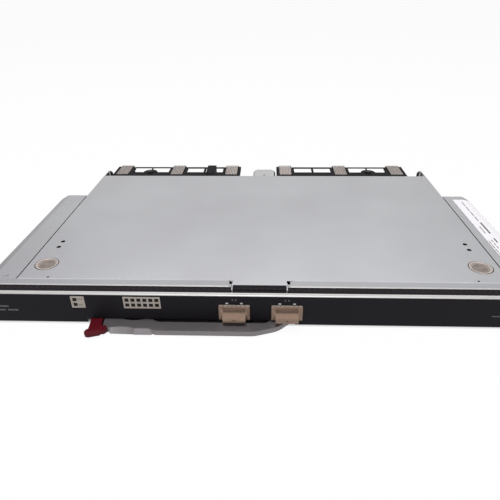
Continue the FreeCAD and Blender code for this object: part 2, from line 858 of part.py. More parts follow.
def light_pipe(label, across, width, lamps_across, columns):
    """Smoked pipe that stands on the board and sends one square finger to each lamp hole."""
    body = new_body(label)
    start = f"{PANEL_BACK} + fit_gap"
    low = f"{PIPE_TOP} - window_height + 2 * window_seat"
    section = [
        (start, PIPE_TOP),
        (start, low),
        (f"{start} + pipe_depth - pipe_leg", low),
        (f"{start} + pipe_depth - pipe_leg", "board_top"),
        (f"{start} + pipe_depth", "board_top"),
        (f"{start} + pipe_depth", PIPE_TOP, "pipe_leg / 2"),
    ]
    half = f"({width} / 2 - window_seat)"
    add(body, "X", f"{across} - {half}", f"2 * {half}", [section])
    fingers = lamp_squares(lamps_across, columns, "lamp_square")
    add(body, "Y", "0", start, fingers)


def port_lamps():
    """Small lenses above the ports, each with a wider head behind the bezel."""
    lenses = []
    rim = "2 * port_lamp_rim"
    for index, place in enumerate(port_lamp_places(), 1):
        name = f"port_lens_{index}"
        nose = block(f"{name}_nose", place, "port_lamp_width", "0", PANEL_BACK,
                     LAMP_LEVEL, "port_lamp_height")
        head = block(f"{name}_head", place, f"(port_lamp_width + {rim})", PANEL_BACK,
                     "port_lamp_head", LAMP_LEVEL, f"(port_lamp_height + {rim})")
        lenses.append(joined(name, [nose, head]))
    group("port_lamps", lenses)


def port_cage(label, across):
    """Thin metal cage, open at the front, that stands on the board."""
    body = new_body(label)
    shell = around(across, "cage_width", PORT_HEIGHT, "cage_height")
    add(body, "Y", "overlay_film", "cage_depth", [shell])
    hollow = around(across, "(cage_width - 2 * cage_wall)", PORT_HEIGHT,
                    "(cage_height - 2 * cage_wall)")
    cut(body, "Y", "overlay_film", "cage_depth - cage_wall", [hollow])


def port_gasket(label, across):
    """Spring-finger frame between the cage and the panel opening."""
    body = new_body(label)
    room = "2 * finger_gap"
    outer = around(across, f"(cage_width + 2 * finger_wall + {room})", PORT_HEIGHT,
                   f"(cage_height + 2 * finger_wall + {room})")
    inner = around(across, f"(cage_width + {room})", PORT_HEIGHT, f"(cage_height + {room})")
    add(body, "Y", "0", PANEL_BACK, [outer, inner])


def port_header(label, across):
    """Card-edge socket at the back of the cage."""
    body = new_body(label)
    floor = f"({PORT_HEIGHT} - cage_height / 2 + cage_wall)"
    rear = "(overlay_film + cage_depth - cage_wall)"
    block = centred(across, "header_width", floor, f"{floor} + header_height")
    add(body, "Y", f"{rear} - header_depth", "header_depth", [block])
    slot = around(across, "header_slot_width", f"({floor} + header_height / 2)", "header_slot_height")
    cut(body, "Y", f"{rear} - header_depth", "header_slot_depth", [slot])


def dust_plug(label, across):
    """Moulded plug: nose in the cage, flange, finger recess and a sloped pull tab with a small hole."""
    body = new_body(label)
    front = "-(plug_flange_thick + fit_gap)"
    flange = around(across, "plug_flange_width", PORT_HEIGHT, "plug_flange_height")
    add(body, "Y", front, "plug_flange_thick", [flange])
    room = "(2 * cage_wall + 2 * plug_nose_gap)"
    nose = around(across, f"(cage_width - {room})", PORT_HEIGHT, f"(cage_height - {room})")
    add(body, "Y", "-fit_gap", "plug_nose_depth + fit_gap", [nose])
    tab_base = f"({PORT_HEIGHT} - plug_tab_drop)"
    tab = [
        (front, tab_base),
        (f"{front} - plug_tab_reach", tab_base),
        (f"{front} - plug_tab_reach", f"{tab_base} + plug_tab_height"),
        (front, f"{tab_base} + plug_tab_height + plug_tab_rise"),
    ]
    add(body, "X", f"{across} - plug_tab_width / 2", "plug_tab_width", [tab])
    recess = around(across, "plug_recess_width", f"({PORT_HEIGHT} + plug_recess_rise)",
                    "plug_recess_height")
    cut(body, "Y", front, "plug_recess_depth", [recess])
    hole = (across, f"{tab_base} + plug_tab_height / 2", "plug_hole_radius")
    cut(body, "Y", f"{front} - plug_tab_reach", "plug_hole_depth", circles=[hole])


def ejector_lever():
    """Flat lever: pivot boss, bent root, arm on a low ledge and a scalloped grip with a latch ear."""
    body = new_body("ejector_lever")
    boss_left = "pivot_x - boss_radius"
    boss_right = "pivot_x + boss_radius"
    boss_round = "boss_radius * 0.98"
    outline = [
        ("-lever_reach", "0", "2"),
        (f"-{GRIP_INNER}", "0", "5"),
        (f"-{GRIP_INNER} + grip_step", "-arm_back", "5"),
        ("arm_root_x", "-arm_back", "5"),
        (boss_left, "arm_root_y", "3"),
        (boss_left, "pivot_y + boss_radius", boss_round),
        (boss_right, "pivot_y + boss_radius", boss_round),
        (boss_right, "heel_y", "6"),
        ("haunch_x", "-haunch_y", "20"),
        ("-arm_bend_x", "-arm_front", "20"),
        (f"-{GRIP_INNER} + grip_step", "-arm_front", "3"),
        (f"-{GRIP_INNER}", "-grip_front", "3"),
        ("-lever_reach + grip_slant", "-grip_front"),
    ]
    add(body, "Z", "lever_base", "lever_height", [outline])
    add(body, "Z", "lever_base", "latch_ear_height", circles=[LATCH_PIN + ("latch_ear_radius",)])
    hub_room = LATCH_PIN + ("latch_hub_radius + latch_hub_gap",)
    cut(body, "Z", EAR_TOP, f"{LEVER_TOP} - {EAR_TOP}", circles=[hub_room])
    scallop = ("-(lever_reach - scallop_inset)", "-(grip_front + scallop_radius - scallop_depth)",
               "scallop_radius")
    dip = ("-(lever_reach - dip_inset)", "dip_radius - dip_depth", "dip_radius")
    cut(body, "Z", "lever_base", "lever_height", circles=[scallop, dip])
    wedge = [("-grip_front", "lever_base"), ("-arm_front", "lever_base"), ("-grip_front", LEVER_TOP)]
    add(body, "X", f"-({GRIP_INNER} + wedge_run)", "wedge_run + grip_step / 2", [wedge])
    ledge = rectangle("-(lever_reach - ledge_inset)", boss_left, "-arm_front / 3", "ledge_back")
    add(body, "Z", "lever_base", "ledge_height", [ledge])
    ribs = []
    for index in range(GRIP_RIBS):
        share = (index + 1) / (GRIP_RIBS + 1)
        across = f"haunch_x + {share} * (pivot_x + boss_radius - haunch_x)"
        along = f"-haunch_y + {share} * (haunch_y + heel_y)"
        ribs.append((across, along, "grip_rib_radius"))
    cut(body, "Z", "lever_base", "lever_height", circles=ribs)
    bores = [
        ("pivot_x", "pivot_y", "pivot_radius + running_gap"),
        LATCH_PIN + ("latch_pin_radius",),
    ]
    cut(body, "Z", "lever_base", "lever_height", circles=bores)


def lever_bracket():
    """Stepped bracket on the tray that carries the lever's pivot pin from above."""
    body = new_body("lever_bracket")
    low = f"({LEVER_TOP} + bracket_gap)"
    high = f"({low} + bracket_sheet)"
    section = [
        ("bracket_front", low),
        ("bracket_front", high),
        ("bracket_bend", high, "bracket_sheet"),
        ("bracket_bend", "tray_sheet + bracket_sheet"),
        ("bracket_foot", "tray_sheet + bracket_sheet"),
        ("bracket_foot", "tray_sheet"),
        ("bracket_bend - bracket_sheet", "tray_sheet"),
        ("bracket_bend - bracket_sheet", low),
    ]
    add(body, "X", "-bracket_left", "bracket_left + bracket_right", [section])
    cut(body, "Z", low, "bracket_sheet", circles=[("pivot_x", "pivot_y", "pivot_radius")])


def lever_pivot_pin():
    """Headed rivet under the lever, set in the bracket."""
    body = new_body("lever_pivot_pin")
    top = f"({LEVER_TOP} + bracket_gap + bracket_sheet)"
    base = "(lever_base - running_gap)"
    section = [
        ("0", f"{base} - pivot_head"),
        ("pivot_head_radius", f"{base} - pivot_head"),
        ("pivot_head_radius", base),
        ("pivot_radius", base),
        ("pivot_radius", top),
        ("0", top),
    ]
    turn_profile(body, "pivot_x", "pivot_y", section)


def release_latch():
    """Moulded latch: hub on the lever's ear, slanted thumb bar and a hooked arm into the slot."""
    body = new_body("release_latch")
    bar_round = "bar_width * 0.48"
    bar = [
        ("-bar_length", "-bar_width / 2", bar_round),
        ("bar_width / 4", "-bar_width / 2", "bar_width / 4"),
        ("bar_width / 4", "bar_width / 2", "bar_width / 4"),
        ("-bar_length", "bar_width / 2", bar_round),
    ]
    add(body, "Z", "bar_base", "bar_top - bar_base", [bar], centre=LATCH_PIN, turn="bar_angle")
    tip = body.Tip
    rim = [f"Edge{index}" for index, edge in enumerate(tip.Shape.Edges, 1)
           if abs(edge.BoundBox.ZLength) < NEAR]
    bevel_edges(body, tip, rim, "bar_edge")
    add(body, "Z", HUB_BASE, f"bar_top - {HUB_BASE}", circles=[LATCH_PIN + ("latch_hub_radius",)])
    arm = [
        (f"-{LATCH_LEFT}", "latch_arm_tail"),
        (f"-{LATCH_RIGHT}", "latch_arm_tail"),
        (f"-{LATCH_RIGHT} + latch_lean", "-latch_y - bar_width / 4"),
        (f"-{LATCH_LEFT} + latch_lean", "-latch_y - bar_width * 0.9"),
    ]
    add(body, "Z", "latch_arm_base", "latch_arm_top - latch_arm_base", [arm])
    nose = [
        (f"-{LATCH_RIGHT}", "latch_nose_y"),
        (f"-{LATCH_LEFT} - latch_nose", "latch_nose_y"),
        (f"-{LATCH_LEFT}", "latch_arm_tail"),
        (f"-{LATCH_RIGHT}", "latch_arm_tail"),
    ]
    add(body, "Z", "latch_arm_base", "latch_arm_top - latch_arm_base", [nose])
    ear_room = LATCH_PIN + ("latch_ear_radius + latch_hub_gap",)
    cut(body, "Z", "bar_base", f"{HUB_BASE} - bar_base", circles=[ear_room])
    spring_room = LATCH_PIN + ("spring_outer_radius + spring_room",)
    cut(body, "Z", HUB_BASE, "spring_height", circles=[spring_room])
    bore = LATCH_PIN + ("latch_pin_radius + running_gap",)
    cut(body, "Z", HUB_BASE, f"{PIN_TOP} + running_gap - {HUB_BASE}", circles=[bore])


def latch_pin():
    """Plain pin pressed into the lever's ear; the latch turns on it."""
    body = new_body("latch_pin")
    add(body, "Z", "lever_base", f"{PIN_TOP} - lever_base",
        circles=[LATCH_PIN + ("latch_pin_radius",)])


def latch_spring():
    """Flat wound spring under the latch's hub, resting on the lever's ear."""
    body = new_body("latch_spring")
    section = [
        ("spring_inner_radius", EAR_TOP),
        ("spring_outer_radius", EAR_TOP),
        ("spring_outer_radius", f"{EAR_TOP} + spring_height"),
        ("spring_inner_radius", f"{EAR_TOP} + spring_height"),
    ]
    turn_profile(body, *LATCH_PIN, section)


def main_board():
    """Printed circuit board, stepped in at the front corners and notched for the guide block."""
    body = new_body("main_board")
    notch_left = f"{GUIDE_LEFT} - guide_board_gap"
    notch_right = f"{GUIDE_RIGHT} + guide_board_gap"
    notch_front = "guide_front - guide_board_gap"
    outline = [
        (f"-{BOARD_FRONT_HALF}", "board_front"),
        (BOARD_FRONT_HALF, "board_front"),
        (BOARD_FRONT_HALF, "board_step"),
        (BOARD_REAR_HALF, "board_step"),
        (BOARD_REAR_HALF, "board_rear"),
        (notch_right, "board_rear"),
        (notch_right, notch_front),
        (notch_left, notch_front),
        (notch_left, "board_rear"),
        (f"-{BOARD_REAR_HALF}", "board_rear"),
        (f"-{BOARD_REAR_HALF}", "board_step"),
        (f"-{BOARD_FRONT_HALF}", "board_step"),
    ]
    add(body, "Z", BOARD_BASE, "board_thick", [outline])
    holes = [(f"{sign}{across}", along, "screw_radius + screw_hole_gap")
             for across, along in BOARD_SCREWS for sign in ("-", "")]
    cut(body, "Z", BOARD_BASE, "board_thick", circles=holes)


def board_fasteners():
    """Hexagonal standoffs on the tray, and the hexagon-headed screws that hold the board."""
    standoffs = []
    screws = []
    for number, (across, along) in enumerate(BOARD_SCREWS, 1):
        for sign, side in (("-", "left"), ("", "right")):
            name = f"{side}_{number}"
            place = (f"{sign}{across}", along)
            height = f"{BOARD_BASE} - tray_sheet"
            standoffs.append(hexagon(f"standoff_{name}", "standoff_radius", height, *place,
                                     "tray_sheet"))
            shank = cylinder(f"screw_shank_{name}", "screw_radius", "screw_head + board_thick",
                             *place, BOARD_BASE)
            head = hexagon(f"screw_head_{name}", "screw_head_radius", "screw_head", *place, "board_top")
            screws.append(joined(f"screw_{name}", [shank, head]))
    group("board_standoffs", standoffs)
    group("board_screws", screws)


def cover_stud(label, sign):
    """Turned stud from the tray up through the cover, with a dished head."""
    body = new_body(label)
    top = "(module_height + stud_proud)"
    head_base = f"({top} - stud_head_height)"
    dish = f"({top} - stud_dish)"
    section = [
        ("0", "tray_sheet"),
        ("stud_shank_radius", "tray_sheet"),
        ("stud_shank_radius", head_base),
        ("stud_head_radius", head_base),
        ("stud_head_radius", top),
        ("stud_head_radius - stud_rim", top),
        ("stud_head_radius - stud_rim", dish),
        ("0", dish),
    ]
    turn_profile(body, f"{sign}{STUD}", "stud_y", section)


def chip_stack(number, sign):
    """Retimer chip on the board with its thermal pad and finned heat sink."""
    across = f"{sign}chip_x"
    chip = new_body(f"retimer_chip_{number}")
    add(chip, "Z", "board_top", "chip_height", [around(across, "chip_size", "chip_y", "chip_size")])
    pad = new_body(f"thermal_pad_{number}")
    patch = around(across, "thermal_pad_size", "chip_y", "thermal_pad_size")
    add(pad, "Z", CHIP_TOP, "thermal_pad_thick", [patch])
    sink = new_body(f"heat_sink_{number}")
    add(sink, "Z", SINK_SEAT, "sink_base", [around(across, "sink_size", "chip_y", "sink_size")])
    first = f"{across} - (sink_size - sink_fin) / 2"
    fin_base = f"({SINK_SEAT} + sink_base)"
    fin = add(sink, "Z", fin_base, f"sink_top - {fin_base}",
              [around(first, "sink_fin", "chip_y", "sink_size")])
    repeat(sink, fin, "X", FIN_PITCH, SINK_FINS)


def management_chip():
    """Small controller chip on the board."""
    body = new_body("management_chip")
    add(body, "Z", "board_top", "manager_height",
        [around("0", "manager_size", "manager_y", "manager_size")])


def connector(number, across):
    """Backplane connector: black housing with a slotted hood, and its ribbed wafer stack."""
    housing = new_body(f"connector_housing_{number}")
    floor_top = "(board_top + housing_floor)"
    hood_front = "(connector_rear - hood_depth)"
    depth = "connector_rear - connector_front"
    add(housing, "Y", "connector_front", depth,
        [centred(across, "connector_width", "board_top", floor_top)])
    add(housing, "Y", hood_front, "hood_depth",
        [centred(across, "connector_width", "board_top", "hood_top")])
    for side in "-+":
        edge = f"({across} {side} (connector_width - housing_side) / 2)"
        add(housing, "Y", "connector_front", depth,
            [centred(edge, "housing_side", "board_top", "frame_top")])
    slot_row = f"({across} - {(HOOD_SLOTS - 1) / 2} * wafer_pitch)"
    slot = cut(housing, "Y", f"{hood_front} + hood_depth / 2", "hood_depth / 2",
               [centred(slot_row, "hood_slot", f"{floor_top} + hood_slot_rise",
                        "hood_top - hood_slot_rise")])
    repeat(housing, slot, "X", "wafer_pitch", HOOD_SLOTS)

    wafers = new_body(f"connector_wafers_{number}")
    width = "(connector_width - 2 * housing_side - 2 * wafer_gap)"
    section = [
        ("connector_front", floor_top),
        (f"{hood_front} - wafer_gap", floor_top),
        (f"{hood_front} - wafer_gap", "hood_top + wafer_gap"),
        ("connector_rear", "hood_top + wafer_gap"),
        ("connector_rear", "connector_top"),
        ("connector_front", "connector_top"),
    ]
    add(wafers, "X", f"{across} - {width} / 2", width, [section])
    first = f"({across} - {(WAFER_GROOVES - 1) / 2} * wafer_pitch)"
    groove = cut(wafers, "Z", "connector_top - wafer_groove_depth", "wafer_groove_depth",
                 [centred(first, "wafer_groove", "connector_front", "connector_rear")])
    repeat(wafers, groove, "X", "wafer_pitch", WAFER_GROOVES)


def connector_frame(label, side, lobe_share):
    """Moulded comb around three connectors, with windows, a divider and a screw lobe."""
    body = new_body(label)
    left_end, right_end = FRAME_ENDS[side]
    places = [along_frame(side, share) for share in FRAME_STEPS]
    recess_front = "connector_front - frame_post_gap"
    rears = ["frame_post_rear", "frame_bar_rear", "frame_bar_rear", "frame_post_rear"]
    outline = [
        (left_end, "frame_post_rear"),
        (left_end, "frame_front"),
        (right_end, "frame_front"),
        (right_end, "frame_post_rear"),
    ]
    for index in reversed(range(len(places))):
        right = f"{places[index]} + {RECESS_HALF}"
        left = f"{places[index]} - {RECESS_HALF}"
        outline += [(right, rears[index + 1]), (right, recess_front)]
        outline += [(left, recess_front), (left, rears[index])]
    loops = [outline]
    for gap in range(len(places) - 1):
        share = (FRAME_STEPS[gap] + FRAME_STEPS[gap + 1]) / 2
        middle = along_frame(side, share)
        split = "lobe_rib" if share == lobe_share else "frame_divider"
        bar = "frame_bar_thin" if share == lobe_share else "frame_bar"
        low = "frame_rail_rear"
        high = f"frame_bar_rear - {bar}"
        loops.append(rectangle(f"{places[gap]} + {POST_HALF}", f"{middle} - {split} / 2", low, high))
        loops.append(rectangle(f"{middle} + {split} / 2", f"{places[gap + 1]} - {POST_HALF}", low, high))
    add(body, "Z", FRAME_BASE, "frame_thick", loops)
    under_bars = [rectangle(f"{before} + {POST_HALF}", f"{after} - {POST_HALF}",
                            "frame_rail_rear", "frame_bar_rear")
                  for before, after in zip(places, places[1:])]
    cut(body, "Z", FRAME_BASE, "frame_thick - frame_bar_height", under_bars)
    web = rectangle(left_end, right_end, "frame_front", "frame_front + frame_web")
    add(body, "Z", "board_top", f"{FRAME_BASE} - board_top", [web])
    lobe = (along_frame(side, lobe_share), "frame_rail_rear")
    add(body, "Z", FRAME_BASE, "frame_thick", circles=[lobe + ("lobe_radius",)])
    add(body, "Z", "board_top", f"{FRAME_BASE} - board_top", circles=[lobe + ("lobe_boss_radius",)])
    cut(body, "Z", "frame_top - frame_screw_length - fit_gap", "frame_screw_length + fit_gap",
        circles=[lobe + ("screw_radius + running_gap",)])
    return body


def connector_frames():
    """The two combs; the left one leaves room for the power connector."""
    left = connector_frame("connector_frame_left", "left", LOBE_SHARES["left"])
    room = centred(POWER_MIDDLE, "(power_width + 2 * frame_post_gap)",
                   "power_front - frame_post_gap", "power_rear")
    cut(left, "Z", FRAME_BASE, "frame_thick", [room])
    connector_frame("connector_frame_right", "right", LOBE_SHARES["right"])


def frame_screws():
    """Screws through the combs' lobes."""
    screws = []
    for side, share in LOBE_SHARES.items():
        place = (along_frame(side, share), "frame_rail_rear")
        shank = cylinder(f"frame_screw_shank_{side}", "screw_radius",
                         "frame_screw_length + frame_screw_head", *place,
                         "frame_top - frame_screw_length")
        head = cylinder(f"frame_screw_head_{side}", "frame_screw_head_radius", "frame_screw_head",
                        *place, "frame_top")
        screws.append(joined(f"frame_screw_{side}", [shank, head]))
    group("frame_screws", screws)


def power_connector():
    """Dark power block with two blade slots in its mating face."""
    body = new_body("power_connector")
    add(body, "Z", "board_top", "power_top - board_top",
        [centred(POWER_MIDDLE, "power_width", "power_front", "power_rear")])
    slots = [centred(f"({POWER_MIDDLE} {side} power_width / 4)", "power_blade_slot",
                     "board_top + housing_floor", "hood_top") for side in "-+"]
    cut(body, "Y", "power_rear - power_blade_depth", "power_blade_depth", slots)


def guide_block():
    """Cast guide block on the tray with a bore for the chassis guide pin."""
    body = new_body("guide_block")
    outline = [
        (GUIDE_LEFT, "guide_front"),
        (GUIDE_RIGHT, "guide_front"),
        (GUIDE_RIGHT, "guide_rear", "guide_corner"),
        (GUIDE_LEFT, "guide_rear", "guide_corner"),
    ]
    add(body, "Z", "tray_sheet", "guide_top - tray_sheet", [outline])
    tip = body.Tip
    top = sheet.guide_top
    rim = [f"Edge{index}" for index, edge in enumerate(tip.Shape.Edges, 1)
           if abs(edge.BoundBox.ZMin - top) < NEAR and edge.BoundBox.YMax > sheet.guide_front + NEAR]
    bevel_edges(body, tip, rim, "guide_edge")
    bore = ("guide_x", "guide_bore_height", "guide_bore_radius")
    cut(body, "Y", "guide_rear - guide_bore_depth", "guide_bore_depth", circles=[bore])
    peep = ("guide_x", "guide_peep_y", "guide_peep_radius")
    cut(body, "Z", "guide_top - guide_peep_depth", "guide_peep_depth", circles=[peep])


def wing_label():
    """Blank label on the right rail, folded over the sloped band."""
    body = new_body("wing_label")
    slope = "rail_band_drop / rail_band"
    inner = f"({BODY_SIDE} + label_inset)"
    fold = f"({PANEL_SIDE} - rail_band)"
    outer = f"({PANEL_SIDE} - label_outset)"
    drop = f"((rail_band - label_outset) * {slope})"
    section = [
        (inner, "module_height"),
        (fold, "module_height"),
        (outer, f"module_height - {drop}"),
        (outer, f"module_height - {drop} + label_film"),
        (fold, "module_height + label_film"),
        (inner, "module_height + label_film"),
    ]
    add(body, "Y", "label_front", "label_rear - label_front", [section])


def build():
    """Make every piece of the module."""
    base_tray()
    top_cover()
    side_rail("left_side_rail", "-")
    side_rail("right_side_rail", "")
    front_bezel()
    front_overlay()
    hook_side = "(tongue_half + fit_gap)"
    hook_inside = "(tongue_half - hook_width - fit_gap)"
    gasket("gasket_left", f"-{PANEL_SIDE}", f"-{hook_side}")
    gasket("gasket_centre", f"-{hook_inside}", hook_inside)
    gasket("gasket_right", hook_side, PANEL_SIDE)
    status = ("-status_x", "status_width", "(-status_x - status_lamp_shift)", 1)
    link = ("-link_x", "link_width", "-link_x", LINK_LAMP_COLUMNS)
    lamp_window("status_window", *status)
    lamp_window("link_window", *link)
    light_pipe("status_light_pipe", *status)
    light_pipe("link_light_pipe", *link)
    port_lamps()
    for number, port in enumerate(PORTS, 1):
        port_cage(f"link_port_cage_{number}", port)
        port_gasket(f"port_gasket_{number}", port)
        port_header(f"port_header_{number}", port)
        dust_plug(f"dust_plug_{number}", port)
    ejector_lever()
    lever_bracket()
    lever_pivot_pin()
    release_latch()
    latch_pin()
    latch_spring()
    main_board()
    board_fasteners()
    cover_stud("cover_stud_left", "-")
    cover_stud("cover_stud_right", "")
    chip_stack(1, "-")
    chip_stack(2, "")
    management_chip()
    for number, place in enumerate(CONNECTORS, 1):
        connector(number, place)
    connector_frames()
    frame_screws()
    power_connector()
    guide_block()
    wing_label()
    doc.recompute()


def check():
    """Stop if any object failed or any piece is not a sound solid."""
    for item in doc.Objects:
        if "Invalid" in item.State or "Error" in item.State:
            raise RuntimeError(f"{item.Label} failed: {item.State}")
    for piece in pieces:
        shape = piece.Shape
        if shape.isNull() or not shape.isValid() or not shape.Solids:
            raise RuntimeError(f"{piece.Label} has no sound solid")


def write():
    """Write one file for each piece."""
    os.makedirs("parts", exist_ok=True)
    for piece in pieces:
        piece.Shape.exportStep(f"parts/{piece.Label}.step")


fill_sheet()
build()
check()
write()
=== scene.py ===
import logging
import math
from dataclasses import dataclass
from enum import Enum

import bmesh
import bpy
from mathutils import Euler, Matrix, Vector


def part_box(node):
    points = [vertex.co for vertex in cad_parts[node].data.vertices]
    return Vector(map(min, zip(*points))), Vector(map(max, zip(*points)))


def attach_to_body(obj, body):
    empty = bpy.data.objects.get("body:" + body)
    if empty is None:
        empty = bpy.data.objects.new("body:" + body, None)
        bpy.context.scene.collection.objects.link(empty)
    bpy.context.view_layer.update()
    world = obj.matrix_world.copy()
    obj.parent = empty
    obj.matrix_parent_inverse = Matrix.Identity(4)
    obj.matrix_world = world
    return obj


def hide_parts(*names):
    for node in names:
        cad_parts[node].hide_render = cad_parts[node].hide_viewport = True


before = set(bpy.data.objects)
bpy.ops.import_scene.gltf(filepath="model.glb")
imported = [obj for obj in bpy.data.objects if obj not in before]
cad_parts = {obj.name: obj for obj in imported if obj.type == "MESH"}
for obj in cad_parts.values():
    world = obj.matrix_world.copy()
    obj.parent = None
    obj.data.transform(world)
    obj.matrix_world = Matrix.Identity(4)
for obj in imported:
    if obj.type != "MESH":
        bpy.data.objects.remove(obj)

# Looks of a blade chassis interconnect module in the frame of its solids: metres, X to the right
# seen from the front panel, Y to the rear connectors, Z up from the tray's underside.

LOG = logging.getLogger("interconnect_module")
MM = 0.001
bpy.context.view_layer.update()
# Corners closer than this are one corner, and faces that turn less than this are one face.
MERGE_MM = 0.0005
FLAT_TURN = 0.5
# Edges that turn more than this stay sharp in the shading.
SHARP_TURN = 50.0
# Where a finish's pattern is fully dark and fully light.
SHADE_ENDS = (0.3, 0.7)


class Body(Enum):
    """Rigid bodies that pieces ride on."""

    MODULE = "module"
    LEVER = "lever"
    LATCH = "latch"
    PLUG_1 = "plug_1"
    PLUG_2 = "plug_2"


class Pattern(Enum):
    """How a surface's fine variation is laid out."""

    GRAIN = "grain"
    WEAVE = "weave"
    TRACKS = "tracks"


def linear(code: str) -> tuple[float, float, float, float]:
    """Turn an sRGB hex colour into linear values.

    Args:
        code: colour as #rrggbb.

    Returns:
        Linear red, green, blue and full alpha.
    """
    values = []
    for place in (1, 3, 5):
        share = int(code[place:place + 2], 16) / 255
        low = share <= 0.04045
        values.append(share / 12.92 if low else ((share + 0.055) / 1.055) ** 2.4)
    return (*values, 1.0)


def add_node(
    tree: bpy.types.NodeTree,
    kind: str,
    values: dict | None = None,
    links: dict | None = None,
    **settings: object,
) -> bpy.types.Node:
    """Add a node with its settings, input values and links.

    Args:
        tree: node tree to add to.
        kind: Blender's name of the node's type.
        values: input name or number to value.
        links: input name or number to the socket that feeds it.
        settings: the node's own properties.

    Returns:
        The new node.
    """
    node = tree.nodes.new(kind)
    for name, value in settings.items():
        setattr(node, name, value)
    for socket, value in (values or {}).items():
        node.inputs[socket].default_value = value
    for socket, source in (links or {}).items():
        tree.links.new(source, node.inputs[socket])
    return node


@dataclass(frozen=True)
class Finish:
    """A real material: its two close shades, its gloss and its fine surface pattern."""

    name: str
    dark: str
    light: str
    roughness: float
    roughness_spread: float = 0.06
    metallic: float = 0.0
    specular: float = 0.5
    grain_mm: float = 1.0
    stretch: tuple[float, float, float] = (1.0, 1.0, 1.0)
    relief_mm: float = 0.0
    pattern: Pattern = Pattern.GRAIN
    drift_mm: float = 0.0
    edge_mm: float = 0.25

    def height(self, tree: bpy.types.NodeTree) -> bpy.types.NodeSocket:
        """Lay out the pattern on object coordinates.

        Args:
            tree: the material's node tree.

        Returns:
            Socket that carries the pattern from 0 to 1.
        """
        place = add_node(tree, "ShaderNodeTexCoord").outputs["Object"]
        scale = 1.0 / (self.grain_mm * MM)
        turned = add_node(
            tree, "ShaderNodeMapping", {"Scale": self.stretch}, {"Vector": place}
        ).outputs["Vector"]
        if self.pattern is Pattern.WEAVE:
            bands = [
                add_node(
                    tree, "ShaderNodeTexWave", {"Scale": scale / 20, "Distortion": 0.6},
                    {"Vector": turned}, bands_direction=way,
                ).outputs["Fac"]
                for way in ("X", "Y")
            ]
            return add_node(
                tree, "ShaderNodeMath", links={0: bands[0], 1: bands[1]}, operation="MULTIPLY"
            ).outputs["Value"]
        if self.pattern is Pattern.TRACKS:
            return add_node(
                tree, "ShaderNodeTexBrick",
                {"Scale": scale, "Mortar Size": 0.06, "Color1": (0.0, 0.0, 0.0, 1.0),
                 "Color2": (0.25, 0.25, 0.25, 1.0), "Mortar": (1.0, 1.0, 1.0, 1.0)},
                {"Vector": turned},
            ).outputs["Color"]
        noise = add_node(
            tree, "ShaderNodeTexNoise", {"Scale": scale, "Detail": 3.0, "Roughness": 0.55},
            {"Vector": turned},
        ).outputs["Fac"]
        if not self.drift_mm:
            return noise
        drift = add_node(
            tree, "ShaderNodeTexNoise", {"Scale": 1.0 / (self.drift_mm * MM), "Detail": 2.0},
            {"Vector": place},
        ).outputs["Fac"]
        return add_node(
            tree, "ShaderNodeMix", {"Factor": 0.75}, {"A": noise, "B": drift}
        ).outputs["Result"]

    def build(self) -> bpy.types.Material:
        """Make the material.

        Returns:
            A node material named after the real one.
        """
        material = bpy.data.materials.new(self.name)
        material.use_nodes = True
        tree = material.node_tree
        shader = tree.nodes["Principled BSDF"]
        shader.inputs["Metallic"].default_value = self.metallic
        shader.inputs["Specular IOR Level"].default_value = self.specular
        pattern = self.height(tree)
        shade = add_node(tree, "ShaderNodeValToRGB", links={"Fac": pattern})
        ends = shade.color_ramp.elements
        ends[0].position, ends[0].color = SHADE_ENDS[0], linear(self.dark)
        ends[1].position, ends[1].color = SHADE_ENDS[1], linear(self.light)
        tree.links.new(shade.outputs["Color"], shader.inputs["Base Color"])
        gloss = add_node(
            tree, "ShaderNodeMapRange",
            {"To Min": self.roughness - self.roughness_spread / 2,
             "To Max": self.roughness + self.roughness_spread / 2},
            {"Value": pattern},
        )
        tree.links.new(gloss.outputs["Result"], shader.inputs["Roughness"])
        if self.relief_mm:
            skin = add_node(
                tree, "ShaderNodeBump", {"Strength": 0.4, "Distance": self.relief_mm * MM},
                {"Height": pattern, "Normal": self.rounding(tree)},
            )
            tree.links.new(skin.outputs["Normal"], shader.inputs["Normal"])
        elif self.edge_mm:
            tree.links.new(self.rounding(tree), shader.inputs["Normal"])
        return material

    def rounding(self, tree: bpy.types.NodeTree) -> bpy.types.NodeSocket:
        """Give the normals that make sharp edges look slightly rounded.

        Args:
            tree: node tree of the material.

        Returns:
            Socket with the normal.
        """
        return add_node(tree, "ShaderNodeBevel", {"Radius": self.edge_mm * MM}).outputs["Normal"]


